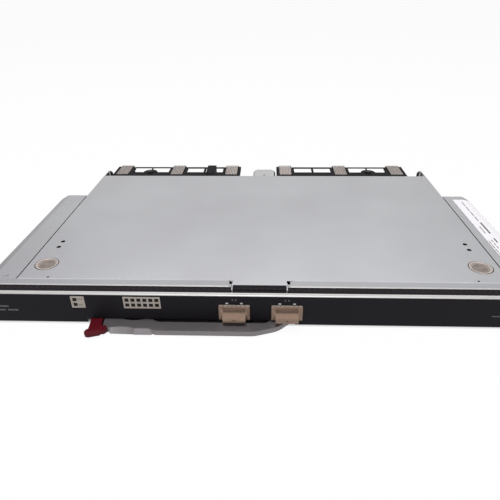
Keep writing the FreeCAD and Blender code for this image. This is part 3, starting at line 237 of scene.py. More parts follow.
@dataclass(frozen=True)
class Finishes:
    """Every finish on the module, each by its record slot."""

    # Hot-dip galvanised sheet: even pale grey, faint streaks along the rolling and a soft sheen.
    galvanised_steel: Finish = Finish(
        "galvanised_sheet_steel", "#b1b1b5", "#babbbe", 0.28, 0.03, 0.95, grain_mm=1.6,
        stretch=(1.0, 0.25, 1.0), drift_mm=70.0, edge_mm=0.0,
    )
    # Bright zinc-plated panel sheet, rolled along its length: fine lines and a clear highlight.
    panel_steel: Finish = Finish(
        "plated_panel_steel", "#c8c7c6", "#d5d4d3", 0.34, 0.08, 1.0, grain_mm=0.8,
        stretch=(0.05, 1.0, 1.0),
    )
    # Screen-printed polycarbonate film: black, with a fine matt texture that scatters reflections.
    black_film: Finish = Finish(
        "black_polycarbonate_film", "#1b191e", "#1f1d22", 0.5, 0.08, specular=0.08, grain_mm=0.6,
        relief_mm=0.01,
    )
    # Metallised cloth over foam: dark, soft, with a fine weave.
    gasket_foam: Finish = Finish(
        "fabric_over_foam", "#231f22", "#2e2a2d", 0.8, 0.08, specular=0.1, grain_mm=0.7,
        relief_mm=0.05, pattern=Pattern.WEAVE,
    )
    # Moulded light-grey ABS: even and matt.
    window_plastic: Finish = Finish(
        "pale_abs", "#aca39a", "#b5aca3", 0.55, 0.08, specular=0.2, grain_mm=0.8, relief_mm=0.01,
    )
    # Smoked polycarbonate lens: near black until lit, with a smooth face.
    smoked_lens: Finish = Finish(
        "smoked_polycarbonate", "#161413", "#1d1b1a", 0.3, 0.05, specular=0.15, grain_mm=2.0,
    )
    # Frosted polycarbonate lens: pale and soft.
    pale_lens: Finish = Finish(
        "frosted_polycarbonate", "#bcb7b1", "#c8c4be", 0.4, 0.05, grain_mm=1.0,
    )
    # Nickel-plated steel: warm grey metal with fine drawing lines.
    nickel_steel: Finish = Finish(
        "nickel_plated_steel", "#bdb2ac", "#cbc0ba", 0.34, 0.1, 1.0, grain_mm=0.5,
        stretch=(1.0, 1.0, 0.2),
    )
    # Turned face in the studs' dish: the studs' nickel steel, painted darker and browner as shade in the
    # dish.
    turned_face: Finish = Finish(
        "dish_shaded_nickel_steel", "#90857f", "#a1958f", 0.38, 0.1, 1.0, grain_mm=0.5,
    )
    # Black-oxide steel: dark metal with a dull sheen.
    black_steel: Finish = Finish(
        "black_oxide_steel", "#232224", "#2d2b2d", 0.5, 0.08, specular=0.15, grain_mm=0.6,
    )
    # Moulded tan nylon: warm, matt, slightly uneven.
    plug_plastic: Finish = Finish(
        "tan_nylon", "#877061", "#957e6f", 0.55, 0.1, specular=0.25, grain_mm=1.6, relief_mm=0.02,
        edge_mm=0.6,
    )
    # Grey metallic lacquer on a moulded lever: a satin sheen that takes on what it faces.
    lever_plastic: Finish = Finish(
        "grey_metallic_lacquer", "#787376", "#848082", 0.36, 0.08, 0.6, grain_mm=0.5, relief_mm=0.01,
        edge_mm=0.45,
    )
    # Moulded dark red acetal: deep colour with a waxy sheen.
    latch_plastic: Finish = Finish(
        "red_acetal", "#4c0c16", "#58131d", 0.45, 0.08, specular=0.15, grain_mm=0.8, relief_mm=0.015,
    )
    # Green solder mask over copper tracks on glass-epoxy.
    board_laminate: Finish = Finish(
        "green_solder_mask", "#1d4631", "#2c5c41", 0.35, 0.1, grain_mm=9.0, pattern=Pattern.TRACKS,
    )
    # Black epoxy chip package: matt.
    chip_resin: Finish = Finish(
        "black_epoxy", "#232327", "#2c2c30", 0.6, 0.08, specular=0.3, grain_mm=0.6, relief_mm=0.01,
    )
    # Silicone gap pad: soft blue grey.
    thermal_pad: Finish = Finish(
        "silicone_pad", "#838f9b", "#94a0ab", 0.8, 0.08, specular=0.3, grain_mm=0.8,
    )
    # Extruded aluminium: bright satin with lines along the extrusion.
    sink_aluminium: Finish = Finish(
        "extruded_aluminium", "#b2b4b7", "#c4c6c9", 0.36, 0.1, 1.0, grain_mm=0.6,
        stretch=(1.0, 0.06, 1.0),
    )
    # Glass-filled black nylon: matt with a faint mottle.
    connector_black: Finish = Finish(
        "black_glass_filled_nylon", "#161518", "#1d1c1f", 0.6, 0.1, specular=0.05, grain_mm=0.9,
        relief_mm=0.02,
    )
    # Wafers in warm grey liquid-crystal polymer, with drag lines along each one.
    wafer_plastic: Finish = Finish(
        "grey_crystal_polymer", "#a89f9b", "#beb5b0", 0.5, 0.1, specular=0.3, grain_mm=0.7,
        stretch=(1.0, 0.1, 1.0),
    )
    # Die-cast aluminium: pale grey, slightly rough skin.
    guide_casting: Finish = Finish(
        "cast_aluminium", "#b9b9ba", "#c6c6c7", 0.42, 0.12, 1.0, grain_mm=1.2, relief_mm=0.02,
    )
    # Coated label stock: white and matt.
    label_film: Finish = Finish(
        "white_label_stock", "#f0eef2", "#f6f4f8", 0.6, 0.05, specular=0.3, grain_mm=1.0,
    )
    # Grey printing ink.
    print_ink: Finish = Finish(
        "grey_ink", "#6a6769", "#767375", 0.6, 0.05, specular=0.3, grain_mm=0.5,
    )
    # Thin grey ink on black film: only just lighter than its ground.
    faint_ink: Finish = Finish(
        "faint_grey_ink", "#57565a", "#636266", 0.6, 0.05, specular=0.2, grain_mm=0.5,
    )


FINISHES = Finishes()
_built: dict[str, bpy.types.Material] = {}


def material(slot: str) -> bpy.types.Material:
    """Give the material of a finish, built once.

    Args:
        slot: field name of the finish.

    Returns:
        The material.
    """
    if slot not in _built:
        _built[slot] = getattr(FINISHES, slot).build()
    return _built[slot]


def paint(node: str, slot: str) -> None:
    """Give a CAD node its finish.

    Args:
        node: CAD node to paint.
        slot: field name of the finish.
    """
    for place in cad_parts[node].material_slots:
        place.material = material(slot)


@dataclass(frozen=True)
class Easing:
    """Which edges of a mesh are broken, and how: width in mm, facets, turn range, least length."""

    width_mm: float
    steps: int = 2
    least_turn: float = 32.0
    most_turn: float = 181.0
    shortest_mm: float = 0.3
    clamp: bool = False

    def apply(self, work: bmesh.types.BMesh) -> None:
        """Break the chosen edges.

        Args:
            work: mesh with merged vertices.
        """
        low, high = math.radians(self.least_turn), math.radians(self.most_turn)
        chosen = [
            edge for edge in work.edges
            if edge.is_manifold and low < edge.calc_face_angle(0.0) < high
            and edge.calc_length() > self.shortest_mm * MM
        ]
        bmesh.ops.bevel(
            work, geom=chosen, offset=self.width_mm * MM, offset_type="OFFSET", segments=self.steps,
            profile=0.5, affect="EDGES", clamp_overlap=self.clamp,
        )


def finish_mesh(work: bmesh.types.BMesh, name: str, slot: str) -> bpy.types.Object:
    """Turn a working mesh into a shown object.

    Args:
        work: the mesh, which is freed.
        name: name of the new piece.
        slot: finish of the piece.

    Returns:
        The object, linked to the scene.
    """
    mesh = bpy.data.meshes.new(name)
    work.to_mesh(mesh)
    work.free()
    mesh.materials.append(material(slot))
    mesh.shade_smooth()
    mesh.set_sharp_from_angle(angle=math.radians(SHARP_TURN))
    piece = bpy.data.objects.new(name, mesh)
    bpy.context.scene.collection.objects.link(piece)
    even = piece.modifiers.new("flat_faces", "WEIGHTED_NORMAL")
    even.keep_sharp = True
    settle(piece, even)
    return piece


def settle(piece: bpy.types.Object, modifier: bpy.types.Modifier) -> None:
    """Turn a piece and its modifier into a plain mesh.

    Args:
        piece: object that carries the modifier.
        modifier: the modifier, which is removed.
    """
    graph = bpy.context.evaluated_depsgraph_get()
    mesh = bpy.data.meshes.new_from_object(piece.evaluated_get(graph))
    piece.modifiers.remove(modifier)
    piece.data = mesh
    mesh.name = piece.name


def attach(piece: bpy.types.Object, body: Body, slot: str, *nodes: str) -> None:
    """Make a piece ride on a body and stand for CAD nodes.

    Args:
        piece: the finished object.
        body: body it moves with.
        slot: record slot of its finish; not used.
        nodes: CAD nodes it stands for.
    """
    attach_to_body(piece, body.value)
    if nodes:
        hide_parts(*nodes)
    LOG.info("%s rides on %s", piece.name, body.value)


def eased(node: str, body: Body, slot: str, *easings: Easing) -> bpy.types.Object:
    """Stand in for a CAD node with a copy whose edges are broken.

    Args:
        node: CAD node to copy.
        body: body it rides on.
        slot: its finish.
        easings: the edges to break, in order.

    Returns:
        The new piece.
    """
    work = bmesh.new()
    work.from_mesh(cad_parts[node].data)
    bmesh.ops.remove_doubles(work, verts=work.verts, dist=MERGE_MM * MM)
    bmesh.ops.dissolve_limit(
        work, angle_limit=math.radians(FLAT_TURN), verts=work.verts, edges=work.edges
    )
    for easing in easings:
        easing.apply(work)
    low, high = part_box(node)
    for corner in work.verts:
        corner.co = [min(max(*pair), top) for *pair, top in zip(corner.co, low, high)]
    piece = finish_mesh(work, f"{node}_eased", slot)
    attach(piece, body, slot, node)
    return piece


class BlockGrid:
    """Geometry Nodes tree that sets out equal blocks in columns and rows."""

    INPUTS = (
        ("Columns", "NodeSocketInt"),
        ("Rows", "NodeSocketInt"),
        ("Column Step", "NodeSocketVector"),
        ("Row Step", "NodeSocketVector"),
        ("Block Size", "NodeSocketVector"),
        ("Block Turn", "NodeSocketVector"),
        ("First Block", "NodeSocketVector"),
        ("Finish", "NodeSocketMaterial"),
    )

    def __init__(self) -> None:
        """Build the tree once."""
        tree = bpy.data.node_groups.new("block_grid", "GeometryNodeTree")
        self.tree = tree
        self.sockets = {
            name: tree.interface.new_socket(name, in_out="INPUT", socket_type=kind).identifier
            for name, kind in self.INPUTS
        }
        tree.interface.new_socket("Blocks", in_out="OUTPUT", socket_type="NodeSocketGeometry")
        given = add_node(tree, "NodeGroupInput").outputs
        columns = add_node(
            tree, "GeometryNodeMeshLine", links={
                "Count": given["Columns"], "Start Location": given["First Block"],
                "Offset": given["Column Step"]},
        )
        rows = add_node(
            tree, "GeometryNodeMeshLine",
            links={"Count": given["Rows"], "Offset": given["Row Step"]},
        )
        spread = add_node(
            tree, "GeometryNodeInstanceOnPoints",
            links={"Points": columns.outputs["Mesh"], "Instance": rows.outputs["Mesh"]},
        )
        places = add_node(
            tree, "GeometryNodeRealizeInstances", links={"Geometry": spread.outputs["Instances"]}
        )
        block = add_node(tree, "GeometryNodeMeshCube", links={"Size": given["Block Size"]})
        blocks = add_node(
            tree, "GeometryNodeInstanceOnPoints",
            links={"Points": places.outputs["Geometry"], "Instance": block.outputs["Mesh"],
                   "Rotation": given["Block Turn"]},
        )
        solid = add_node(
            tree, "GeometryNodeRealizeInstances", links={"Geometry": blocks.outputs["Instances"]}
        )
        painted = add_node(
            tree, "GeometryNodeSetMaterial",
            links={"Geometry": solid.outputs["Geometry"], "Material": given["Finish"]},
        )
        add_node(tree, "NodeGroupOutput", links={"Blocks": painted.outputs["Geometry"]})

    def make(
        self,
        name: str,
        slot: str,
        first: Vector,
        size: Vector,
        columns: tuple[int, Vector],
        rows: tuple[int, Vector] = (1, Vector((0.0, 0.0, 0.0))),
        pitch: float = 0.0,
    ) -> bpy.types.Object:
        """Make one plain mesh of blocks.

        Args:
            name: name of the piece.
            slot: finish of the blocks.
            first: middle of the first block, in metres.
            size: size of each block.
            columns: count of columns and the step from one to the next.
            rows: count of rows and the step from one to the next.
            pitch: turn of each block about X, in degrees.

        Returns:
            The object with a plain mesh.
        """
        piece = bpy.data.objects.new(name, bpy.data.meshes.new(name))
        bpy.context.scene.collection.objects.link(piece)
        layout = piece.modifiers.new("blocks", "NODES")
        layout.node_group = self.tree
        chosen = {
            "Columns": columns[0], "Rows": rows[0], "Column Step": list(columns[1]),
            "Row Step": list(rows[1]), "Block Size": list(size), "First Block": list(first),
            "Block Turn": [math.radians(pitch), 0.0, 0.0], "Finish": material(slot),
        }
        for label, value in chosen.items():
            layout[self.sockets[label]] = value
        settle(piece, layout)
        return piece


GRID = BlockGrid()


@dataclass(frozen=True)
class Mark:
    """A row of equal printed bars: its first bar's middle, bar size, count and step, in mm."""

    across: float
    along: float
    width: float
    length: float
    count: int = 1
    step: float = 0.0


def turned(
    name: str, slot: str, across: float, along: float, profile: list[tuple[float, float]], sides: int = 72
) -> bpy.types.Object:
    """Turn a profile about an upright axis.

    Args:
        name: name of the piece.
        slot: its finish.
        across: X of the axis, in metres.
        along: Y of the axis.
        profile: radius and height pairs from the lower rim to the inner rim, in metres.
        sides: facets round the axis.

    Returns:
        The closed piece.
    """
    work = bmesh.new()
    turns = [math.tau * step / sides for step in range(sides)]
    rings = [
        [work.verts.new((across + radius * math.cos(turn), along + radius * math.sin(turn), level))
         for turn in turns]
        for radius, level in profile
    ]
    for outer, inner in zip(rings, rings[1:]):
        for step in range(sides):
            after = (step + 1) % sides
            work.faces.new((outer[step], outer[after], inner[after], inner[step]))
    work.faces.new(reversed(rings[0]))
    work.faces.new(rings[-1])
    return finish_mesh(work, name, slot)


def loft(name: str, slot: str, sections: list[list[tuple[float, float, float]]]) -> bpy.types.Object:
    """Skin a row of sections with the same number of corners.

    Args:
        name: name of the piece.
        slot: its finish.
        sections: corners of each section in metres, in order round it.

    Returns:
        The closed piece.
    """
    work = bmesh.new()
    rings = [[work.verts.new(corner) for corner in section] for section in sections]
    count = len(rings[0])
    for near, far in zip(rings, rings[1:]):
        for step in range(count):
            after = (step + 1) % count
            work.faces.new((near[step], far[step], far[after], near[after]))
    work.faces.new(rings[0])
    work.faces.new(reversed(rings[-1]))
    bmesh.ops.recalc_face_normals(work, faces=work.faces)
    return finish_mesh(work, name, slot)


@dataclass
class Chassis:
    """Tray, cover, side rails, cover studs and the blank label."""

    sheet_bend: Easing = Easing(1.0, 4, 4.0, 20.0, 10.0, True)
    tray_edge: Easing = Easing(0.25, shortest_mm=3.0)
    bead_mm: float = 0.8
    bead_rise_mm: float = 0.25
    bead_place_mm: float = 7.2
    bead_sides: int = 20
    lip_drop_mm: float = 2.0
    lip_run_mm: float = 6.0
    lip_sheet_mm: float = 1.0
    seam_mm: float = 0.9
    # Reach of each rolled lip edge from the module's middle, on both sides.
    bead_reach_mm: tuple[float, float] = (23.6, 207.5)
    stud_edge: Easing = Easing(0.6, 3, clamp=True)
    disc_sink_mm: float = 0.6
    disc_radius_mm: float = 6.6
    disc_rise_mm: float = 0.35
    disc_land_mm: float = 1.3
    disc_groove_mm: float = 0.25
    disc_rings: int = 5
    ink_mm: float = 0.04
    # Bars of print on the label: across from its inner edge, along from its rear end.
    label_marks: tuple[Mark, ...] = (
        Mark(7.5, 11.0, 0.9, 9.5, 4, 11.2),
        Mark(8.2, 63.5, 1.8, 22.0),
        Mark(4.1, 67.3, 0.8, 13.5),
        Mark(7.7, 87.0, 1.4, 8.0),
        Mark(4.3, 88.0, 0.8, 4.0, 3, 5.5),
        Mark(1.4, 91.0, 0.8, 6.0, 4, 7.0),
    )

    def build(self) -> None:
        """Make the sheet pieces with broken edges, the studs' discs and the label's print."""
        eased("base_tray", Body.MODULE, "galvanised_steel", self.tray_edge)
        eased("top_cover", Body.MODULE, "galvanised_steel", self.sheet_bend)
        for node in ("left_side_rail", "right_side_rail"):
            paint(node, "galvanised_steel")
        for side in ("left", "right"):
            eased(f"cover_stud_{side}", Body.MODULE, "nickel_steel", self.stud_edge)
            self.stud_disc(side)
            self.lip_bead(side)
            self.lip_splice(side)
        self.print_label()
        self.dress()

    def lip_bead(self, side: str) -> None:
        """Roll the front edge of the lips on one side into a bead, in the brighter panel steel as a painted
        highlight along the cover's rolled edge.

        Args:
            side: left or right.
        """
        low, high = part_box("top_cover")
        along = low.y + self.bead_place_mm * MM
        level = high.z - (self.lip_drop_mm - self.bead_rise_mm) * MM
        turns = [math.tau * step / self.bead_sides for step in range(self.bead_sides)]
        outline = [
            (along + self.bead_mm * MM * math.cos(turn), level + self.bead_mm * MM * math.sin(turn))
            for turn in turns
        ]
        sign = -1.0 if side == "left" else 1.0
        sections = [[(sign * reach * MM, *corner) for corner in outline] for reach in self.bead_reach_mm]
        # The bead belongs to the galvanised cover but is drawn in the brighter panel steel: a painted
        # highlight on a real rolled edge.
        attach(loft(f"lip_bead_{side}", "panel_steel", sections), Body.MODULE, "galvanised_steel")

    def lip_splice(self, side: str) -> None:
        """Close the seam between the lips of the cover and of one rail.

        Args:
            side: left or right.
        """
        low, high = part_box("top_cover")
        front = low.y + (self.bead_place_mm - self.bead_mm / 2) * MM
        rear = front + self.lip_run_mm * MM
        lower, sheet = high.z - self.lip_drop_mm * MM, self.lip_sheet_mm * MM
        outline = [(rear, high.z), (front, lower), (front, lower - sheet), (rear, high.z - sheet)]
        sign = -1.0 if side == "left" else 1.0
        ends = (sign * high.x, sign * (high.x + self.seam_mm * MM))
        sections = [[(end, *corner) for corner in outline] for end in ends]
        attach(loft(f"lip_splice_{side}", "galvanised_steel", sections), Body.MODULE, "galvanised_steel")

    def stud_disc(self, side: str) -> None:
        """Set a turned disc with fine rings into the dish of a stud's head, in a darker, browner copy of the
        stud's steel as painted shade in the dish.

        Args:
            side: left or right.
        """
        low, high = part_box(f"cover_stud_{side}")
        floor = high.z - self.disc_sink_mm * MM
        top = floor + self.disc_rise_mm * MM
        radius = self.disc_radius_mm * MM
        profile = [(radius, floor), (radius, top)]
        inner = radius - self.disc_land_mm * MM
        pitch = inner / (self.disc_rings + 1)
        for ring in range(self.disc_rings):
            edge = inner - ring * pitch
            profile += [(edge, top), (edge - pitch / 2, top - self.disc_groove_mm * MM)]
        middle = (low + high) / 2
        piece = turned(f"stud_disc_{side}", "turned_face", middle.x, middle.y, profile)
        attach(piece, Body.MODULE, "nickel_steel")

    def print_label(self) -> None:
        """Print plain grey bars on the label."""
        low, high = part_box("wing_label")
        for number, mark in enumerate(self.label_marks, 1):
            first = Vector((
                low.x + mark.across * MM, high.y - mark.along * MM, high.z + self.ink_mm * MM / 2
            ))
            size = Vector((mark.width, mark.length, self.ink_mm)) * MM
            step = Vector((0.0, -mark.step * MM, 0.0))
            piece = GRID.make(f"label_print_{number}", "print_ink", first, size, (mark.count, step))
            attach(piece, Body.MODULE, "label_film")

    def dress(self) -> None:
        """Give the plain node its finish."""
        paint("wing_label", "label_film")


@dataclass
class FrontPanel:
    """Folded bezel, black film, gasket strips, lamp windows and lenses."""

    bezel_edge: Easing = Easing(0.2, shortest_mm=3.0)
    gasket_edge: Easing = Easing(0.3, shortest_mm=1.0)
    tongue_sheet_mm: float = 1.05
    ink_mm: float = 0.04
    # Bars of print on the panel: across from the module's middle, up from its underside.
    panel_marks: tuple[Mark, ...] = (
        Mark(-194.4, 15.4, 8.4, 1.5),
        Mark(-196.2, 12.0, 5.6, 1.4),
        Mark(-187.6, 12.0, 8.2, 1.4),
        Mark(175.4, 11.3, 9.0, 1.0),
        Mark(-19.9, 23.5, 1.0, 1.7, 2, 2.5),
        Mark(19.2, 23.5, 1.0, 1.7, 2, 2.5),
    )
    window_marks: tuple[Mark, ...] = (
        Mark(-135.2, 22.8, 0.8, 1.3, 3, 1.4),
        Mark(-134.9, 17.7, 0.9, 1.3, 2, 1.5),
    )

    def build(self) -> None:
        """Make the bezel and the gaskets with broken edges and dress the rest."""
        eased("front_bezel", Body.MODULE, "panel_steel", self.bezel_edge)
        for node in ("gasket_left", "gasket_centre", "gasket_right"):
            eased(node, Body.MODULE, "gasket_foam", self.gasket_edge)
        self.foam_step()
        self.print_marks("panel_print", "front_overlay", "faint_ink", "black_film", self.panel_marks)
        self.print_marks("window_print", "status_window", "print_ink", "window_plastic", self.window_marks)
        self.dress()

    def foam_step(self) -> None:
        """Raise the middle gasket's rear half to the cover's tongue."""
        low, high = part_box("gasket_centre")
        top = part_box("top_cover")[1].z - self.tongue_sheet_mm * MM
        size = Vector((high.x - low.x, (high.y - low.y) / 2, top - high.z))
        middle = Vector(((low.x + high.x) / 2, high.y - size.y / 2, (top + high.z) / 2))
        piece = GRID.make("gasket_step", "gasket_foam", middle, size, (1, Vector()))
        attach(piece, Body.MODULE, "gasket_foam")

    def print_marks(self, name: str, node: str, ink: str, slot: str, marks: tuple[Mark, ...]) -> None:
        """Print plain bars on an upright face.

        Args:
            name: name of the pieces, which get a number.
            node: CAD node whose front is printed on.
            ink: finish of the bars.
            slot: record slot of the face.
            marks: the rows of bars.
        """
        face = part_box(node)[0].y
        for number, mark in enumerate(marks, 1):
            first = Vector((mark.across, 0.0, mark.along)) * MM
            first.y = face - self.ink_mm * MM / 2
            size = Vector((mark.width, self.ink_mm, mark.length)) * MM
            step = Vector((mark.step * MM, 0.0, 0.0))
            piece = GRID.make(f"{name}_{number}", ink, first, size, (mark.count, step))
            attach(piece, Body.MODULE, slot)

    def dress(self) -> None:
        """Give the plain nodes their finishes."""
        paint("front_overlay", "black_film")
        for node in ("status_window", "link_window"):
            paint(node, "window_plastic")
        for node in ("status_light_pipe", "link_light_pipe"):
            paint(node, "smoked_lens")
        paint("port_lamps", "pale_lens")


@dataclass
class LinkPorts:
    """Cages, spring-finger frames, headers and dust plugs."""

    finger_count: int = 7
    finger_share: float = 0.72
    finger_mm: tuple[float, float] = (1.0, 0.25)
    finger_slope: float = 25.0
    finger_gap_mm: float = 0.12

    def build(self) -> None:
        """Make the plugs and the spring fingers."""
        for number, body in ((1, Body.PLUG_1), (2, Body.PLUG_2)):
            eased(f"dust_plug_{number}", body, "plug_plastic")
            self.fingers(number)
        self.dress()

    def fingers(self, number: int) -> None:
        """Set a row of sloped fingers along the top of a port's frame.

        Args:
            number: number of the port.
        """
        low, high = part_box(f"port_gasket_{number}")
        plug_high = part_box(f"dust_plug_{number}")[1]
        pitch = (high.x - low.x) / self.finger_count
        size = Vector((pitch * self.finger_share, *(side * MM for side in self.finger_mm)))
        slope = math.radians(self.finger_slope)
        half = (size.y * math.sin(slope) + size.z * math.cos(slope)) / 2 + self.finger_gap_mm * MM
        out = low.y - (size.y * math.cos(slope) + size.z * math.sin(slope)) / 2
        first = Vector((low.x + pitch / 2, out, plug_high.z + half))
        piece = GRID.make(
            f"port_fingers_{number}", "nickel_steel", first, size,
            (self.finger_count, Vector((pitch, 0.0, 0.0))), pitch=self.finger_slope,
        )
        attach(piece, Body.MODULE, "nickel_steel")

    def dress(self) -> None:
        """Give the plain nodes their finishes."""
        for number in (1, 2):
            paint(f"link_port_cage_{number}", "nickel_steel")
            paint(f"port_gasket_{number}", "nickel_steel")
            paint(f"port_header_{number}", "connector_black")


@dataclass
class Ejector:
    """Lever, release latch and their pins."""

    latch_edge: Easing = Easing(0.4, 3, shortest_mm=1.0)
    # Scallop of the grip, in mm from the panel's face and the module's middle.
    scallop_place_mm: tuple[float, float] = (-103.0, -40.4)
    scallop_radius_mm: float = 31.0
    grip_front_mm: float = -11.2
    # Flare under the scallop: its ends across, and how far out its lower edge stands at them.
    flare_ends_mm: tuple[float, float] = (-111.4, -82.0)
    flare_out_mm: tuple[float, float] = (-12.7, -13.5)
    flare_sink_mm: float = 0.05
    flare_back_mm: float = 1.0
    flare_steps: int = 24
    # Thin sheet of lever plastic under the latch's arm, put there as painted shade over the gap between arm
    # and lever: its middle and size.
    shade_sheet_place_mm: tuple[float, float, float] = (-119.5, 0.2, 0.74)
    shade_sheet_size_mm: tuple[float, float, float] = (6.0, 7.6, 0.08)

    def build(self) -> None:
        """Make the lever with its flare and a thin sheet of painted shade under the latch's arm, and the
        latch with rounded edges.
        """
        eased("ejector_lever", Body.LEVER, "lever_plastic")
        eased("release_latch", Body.LATCH, "latch_plastic", self.latch_edge)
        self.flare()
        self.lay_shade_sheet()
        self.dress()

    def flare(self) -> None:
        """Flare the front of the grip from its scalloped top edge to a straight lower edge."""
        low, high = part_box("ejector_lever")
        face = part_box("port_gasket_1")[0].y
        top = high.z - self.flare_sink_mm * MM
        left, right = self.flare_ends_mm
        sections = []
        for step in range(self.flare_steps + 1):
            share = step / self.flare_steps
            across = left + (right - left) * share
            reach = self.scallop_radius_mm**2 - (across - self.scallop_place_mm[0])**2
            rim = max(self.grip_front_mm, self.scallop_place_mm[1] + math.sqrt(max(reach, 0.0)))
            out = self.flare_out_mm[0] + (self.flare_out_mm[1] - self.flare_out_mm[0]) * share
            back = rim + self.flare_back_mm
            depths = ((rim, top), (out, low.z), (back, low.z), (back, top))
            sections.append([(across * MM, face + depth * MM, level) for depth, level in depths])
        attach(loft("grip_flare", "lever_plastic", sections), Body.LEVER, "lever_plastic")

    def lay_shade_sheet(self) -> None:
        """Lay a thin sheet on the lever's end, under the latch's arm, as painted shade that closes the gap
        there.
        """
        face = Vector((0.0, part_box("port_gasket_1")[0].y, 0.0))
        place = Vector(self.shade_sheet_place_mm) * MM + face
        size = Vector(self.shade_sheet_size_mm) * MM
        piece = GRID.make("lever_shade_sheet", "lever_plastic", place, size, (1, Vector()))
        attach(piece, Body.LEVER, "lever_plastic")

    def dress(self) -> None:
        """Give the plain nodes their finishes."""
        paint("lever_bracket", "galvanised_steel")
        for node in ("lever_pivot_pin", "latch_pin", "latch_spring"):
            paint(node, "nickel_steel")


@dataclass
class Electronics:
    """Board, chips, heat sinks, backplane connectors and the guide block."""

    connector_count: int = 6
    guide_edge: Easing = Easing(0.5, clamp=True)
    contact_rows: int = 8
    contact_columns: int = 6
    contact_mm: tuple[float, float, float] = (0.5, 1.2, 0.9)
    contact_pitch_mm: float = 1.9
    contact_top_mm: float = 18.8
    contact_step_mm: float = 1.1
    contact_inset_mm: float = 1.0
    tip_count: int = 7
    tip_mm: tuple[float, float, float] = (0.9, 1.4, 0.7)

    def build(self) -> None:
        """Make the guide block, the contacts in the connectors' slots and the wafers' tips."""
        eased("guide_block", Body.MODULE, "guide_casting", self.guide_edge)
        for number in range(1, self.connector_count + 1):
            self.contacts(number)
            self.tips(number)
        self.dress()

    def tips(self, number: int) -> None:
        """Stand a small tip on the rear top edge of each wafer of one connector.

        Args:
            number: number of the connector.
        """
        low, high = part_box(f"connector_wafers_{number}")
        size = Vector(self.tip_mm) * MM
        pitch = self.contact_pitch_mm * MM
        left = (low.x + high.x) / 2 - pitch * (self.tip_count - 1) / 2
        first = Vector((left, high.y - size.y, high.z + size.z / 4))
        piece = GRID.make(
            f"wafer_tips_{number}", "wafer_plastic", first, size,
            (self.tip_count, Vector((pitch, 0.0, 0.0))),
        )
        attach(piece, Body.MODULE, "wafer_plastic")

    def contacts(self, number: int) -> None:
        """Set the contact blades into the slots of one connector's mating face.

        Args:
            number: number of the connector.
        """
        low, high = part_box(f"connector_housing_{number}")
        size = Vector(self.contact_mm) * MM
        pitch = self.contact_pitch_mm * MM
        left = (low.x + high.x) / 2 - pitch * (self.contact_columns - 1) / 2
        first = Vector((left, high.y - self.contact_inset_mm * MM, self.contact_top_mm * MM))
        piece = GRID.make(
            f"connector_contacts_{number}", "nickel_steel", first, size,
            (self.contact_columns, Vector((pitch, 0.0, 0.0))),
            (self.contact_rows, Vector((0.0, 0.0, -self.contact_step_mm * MM))),
        )
        attach(piece, Body.MODULE, "nickel_steel")

    def dress(self) -> None:
        """Give the plain nodes their finishes."""
        for number in range(1, self.connector_count + 1):
            paint(f"connector_housing_{number}", "connector_black")
            paint(f"connector_wafers_{number}", "wafer_plastic")
        for node in ("connector_frame_left", "connector_frame_right", "power_connector"):
            paint(node, "connector_black")
        for number in (1, 2):
            paint(f"retimer_chip_{number}", "chip_resin")
            paint(f"thermal_pad_{number}", "thermal_pad")
            paint(f"heat_sink_{number}", "sink_aluminium")
        paint("management_chip", "chip_resin")
        paint("main_board", "board_laminate")
        paint("frame_screws", "black_steel")
        for node in ("board_standoffs", "board_screws"):
            paint(node, "nickel_steel")


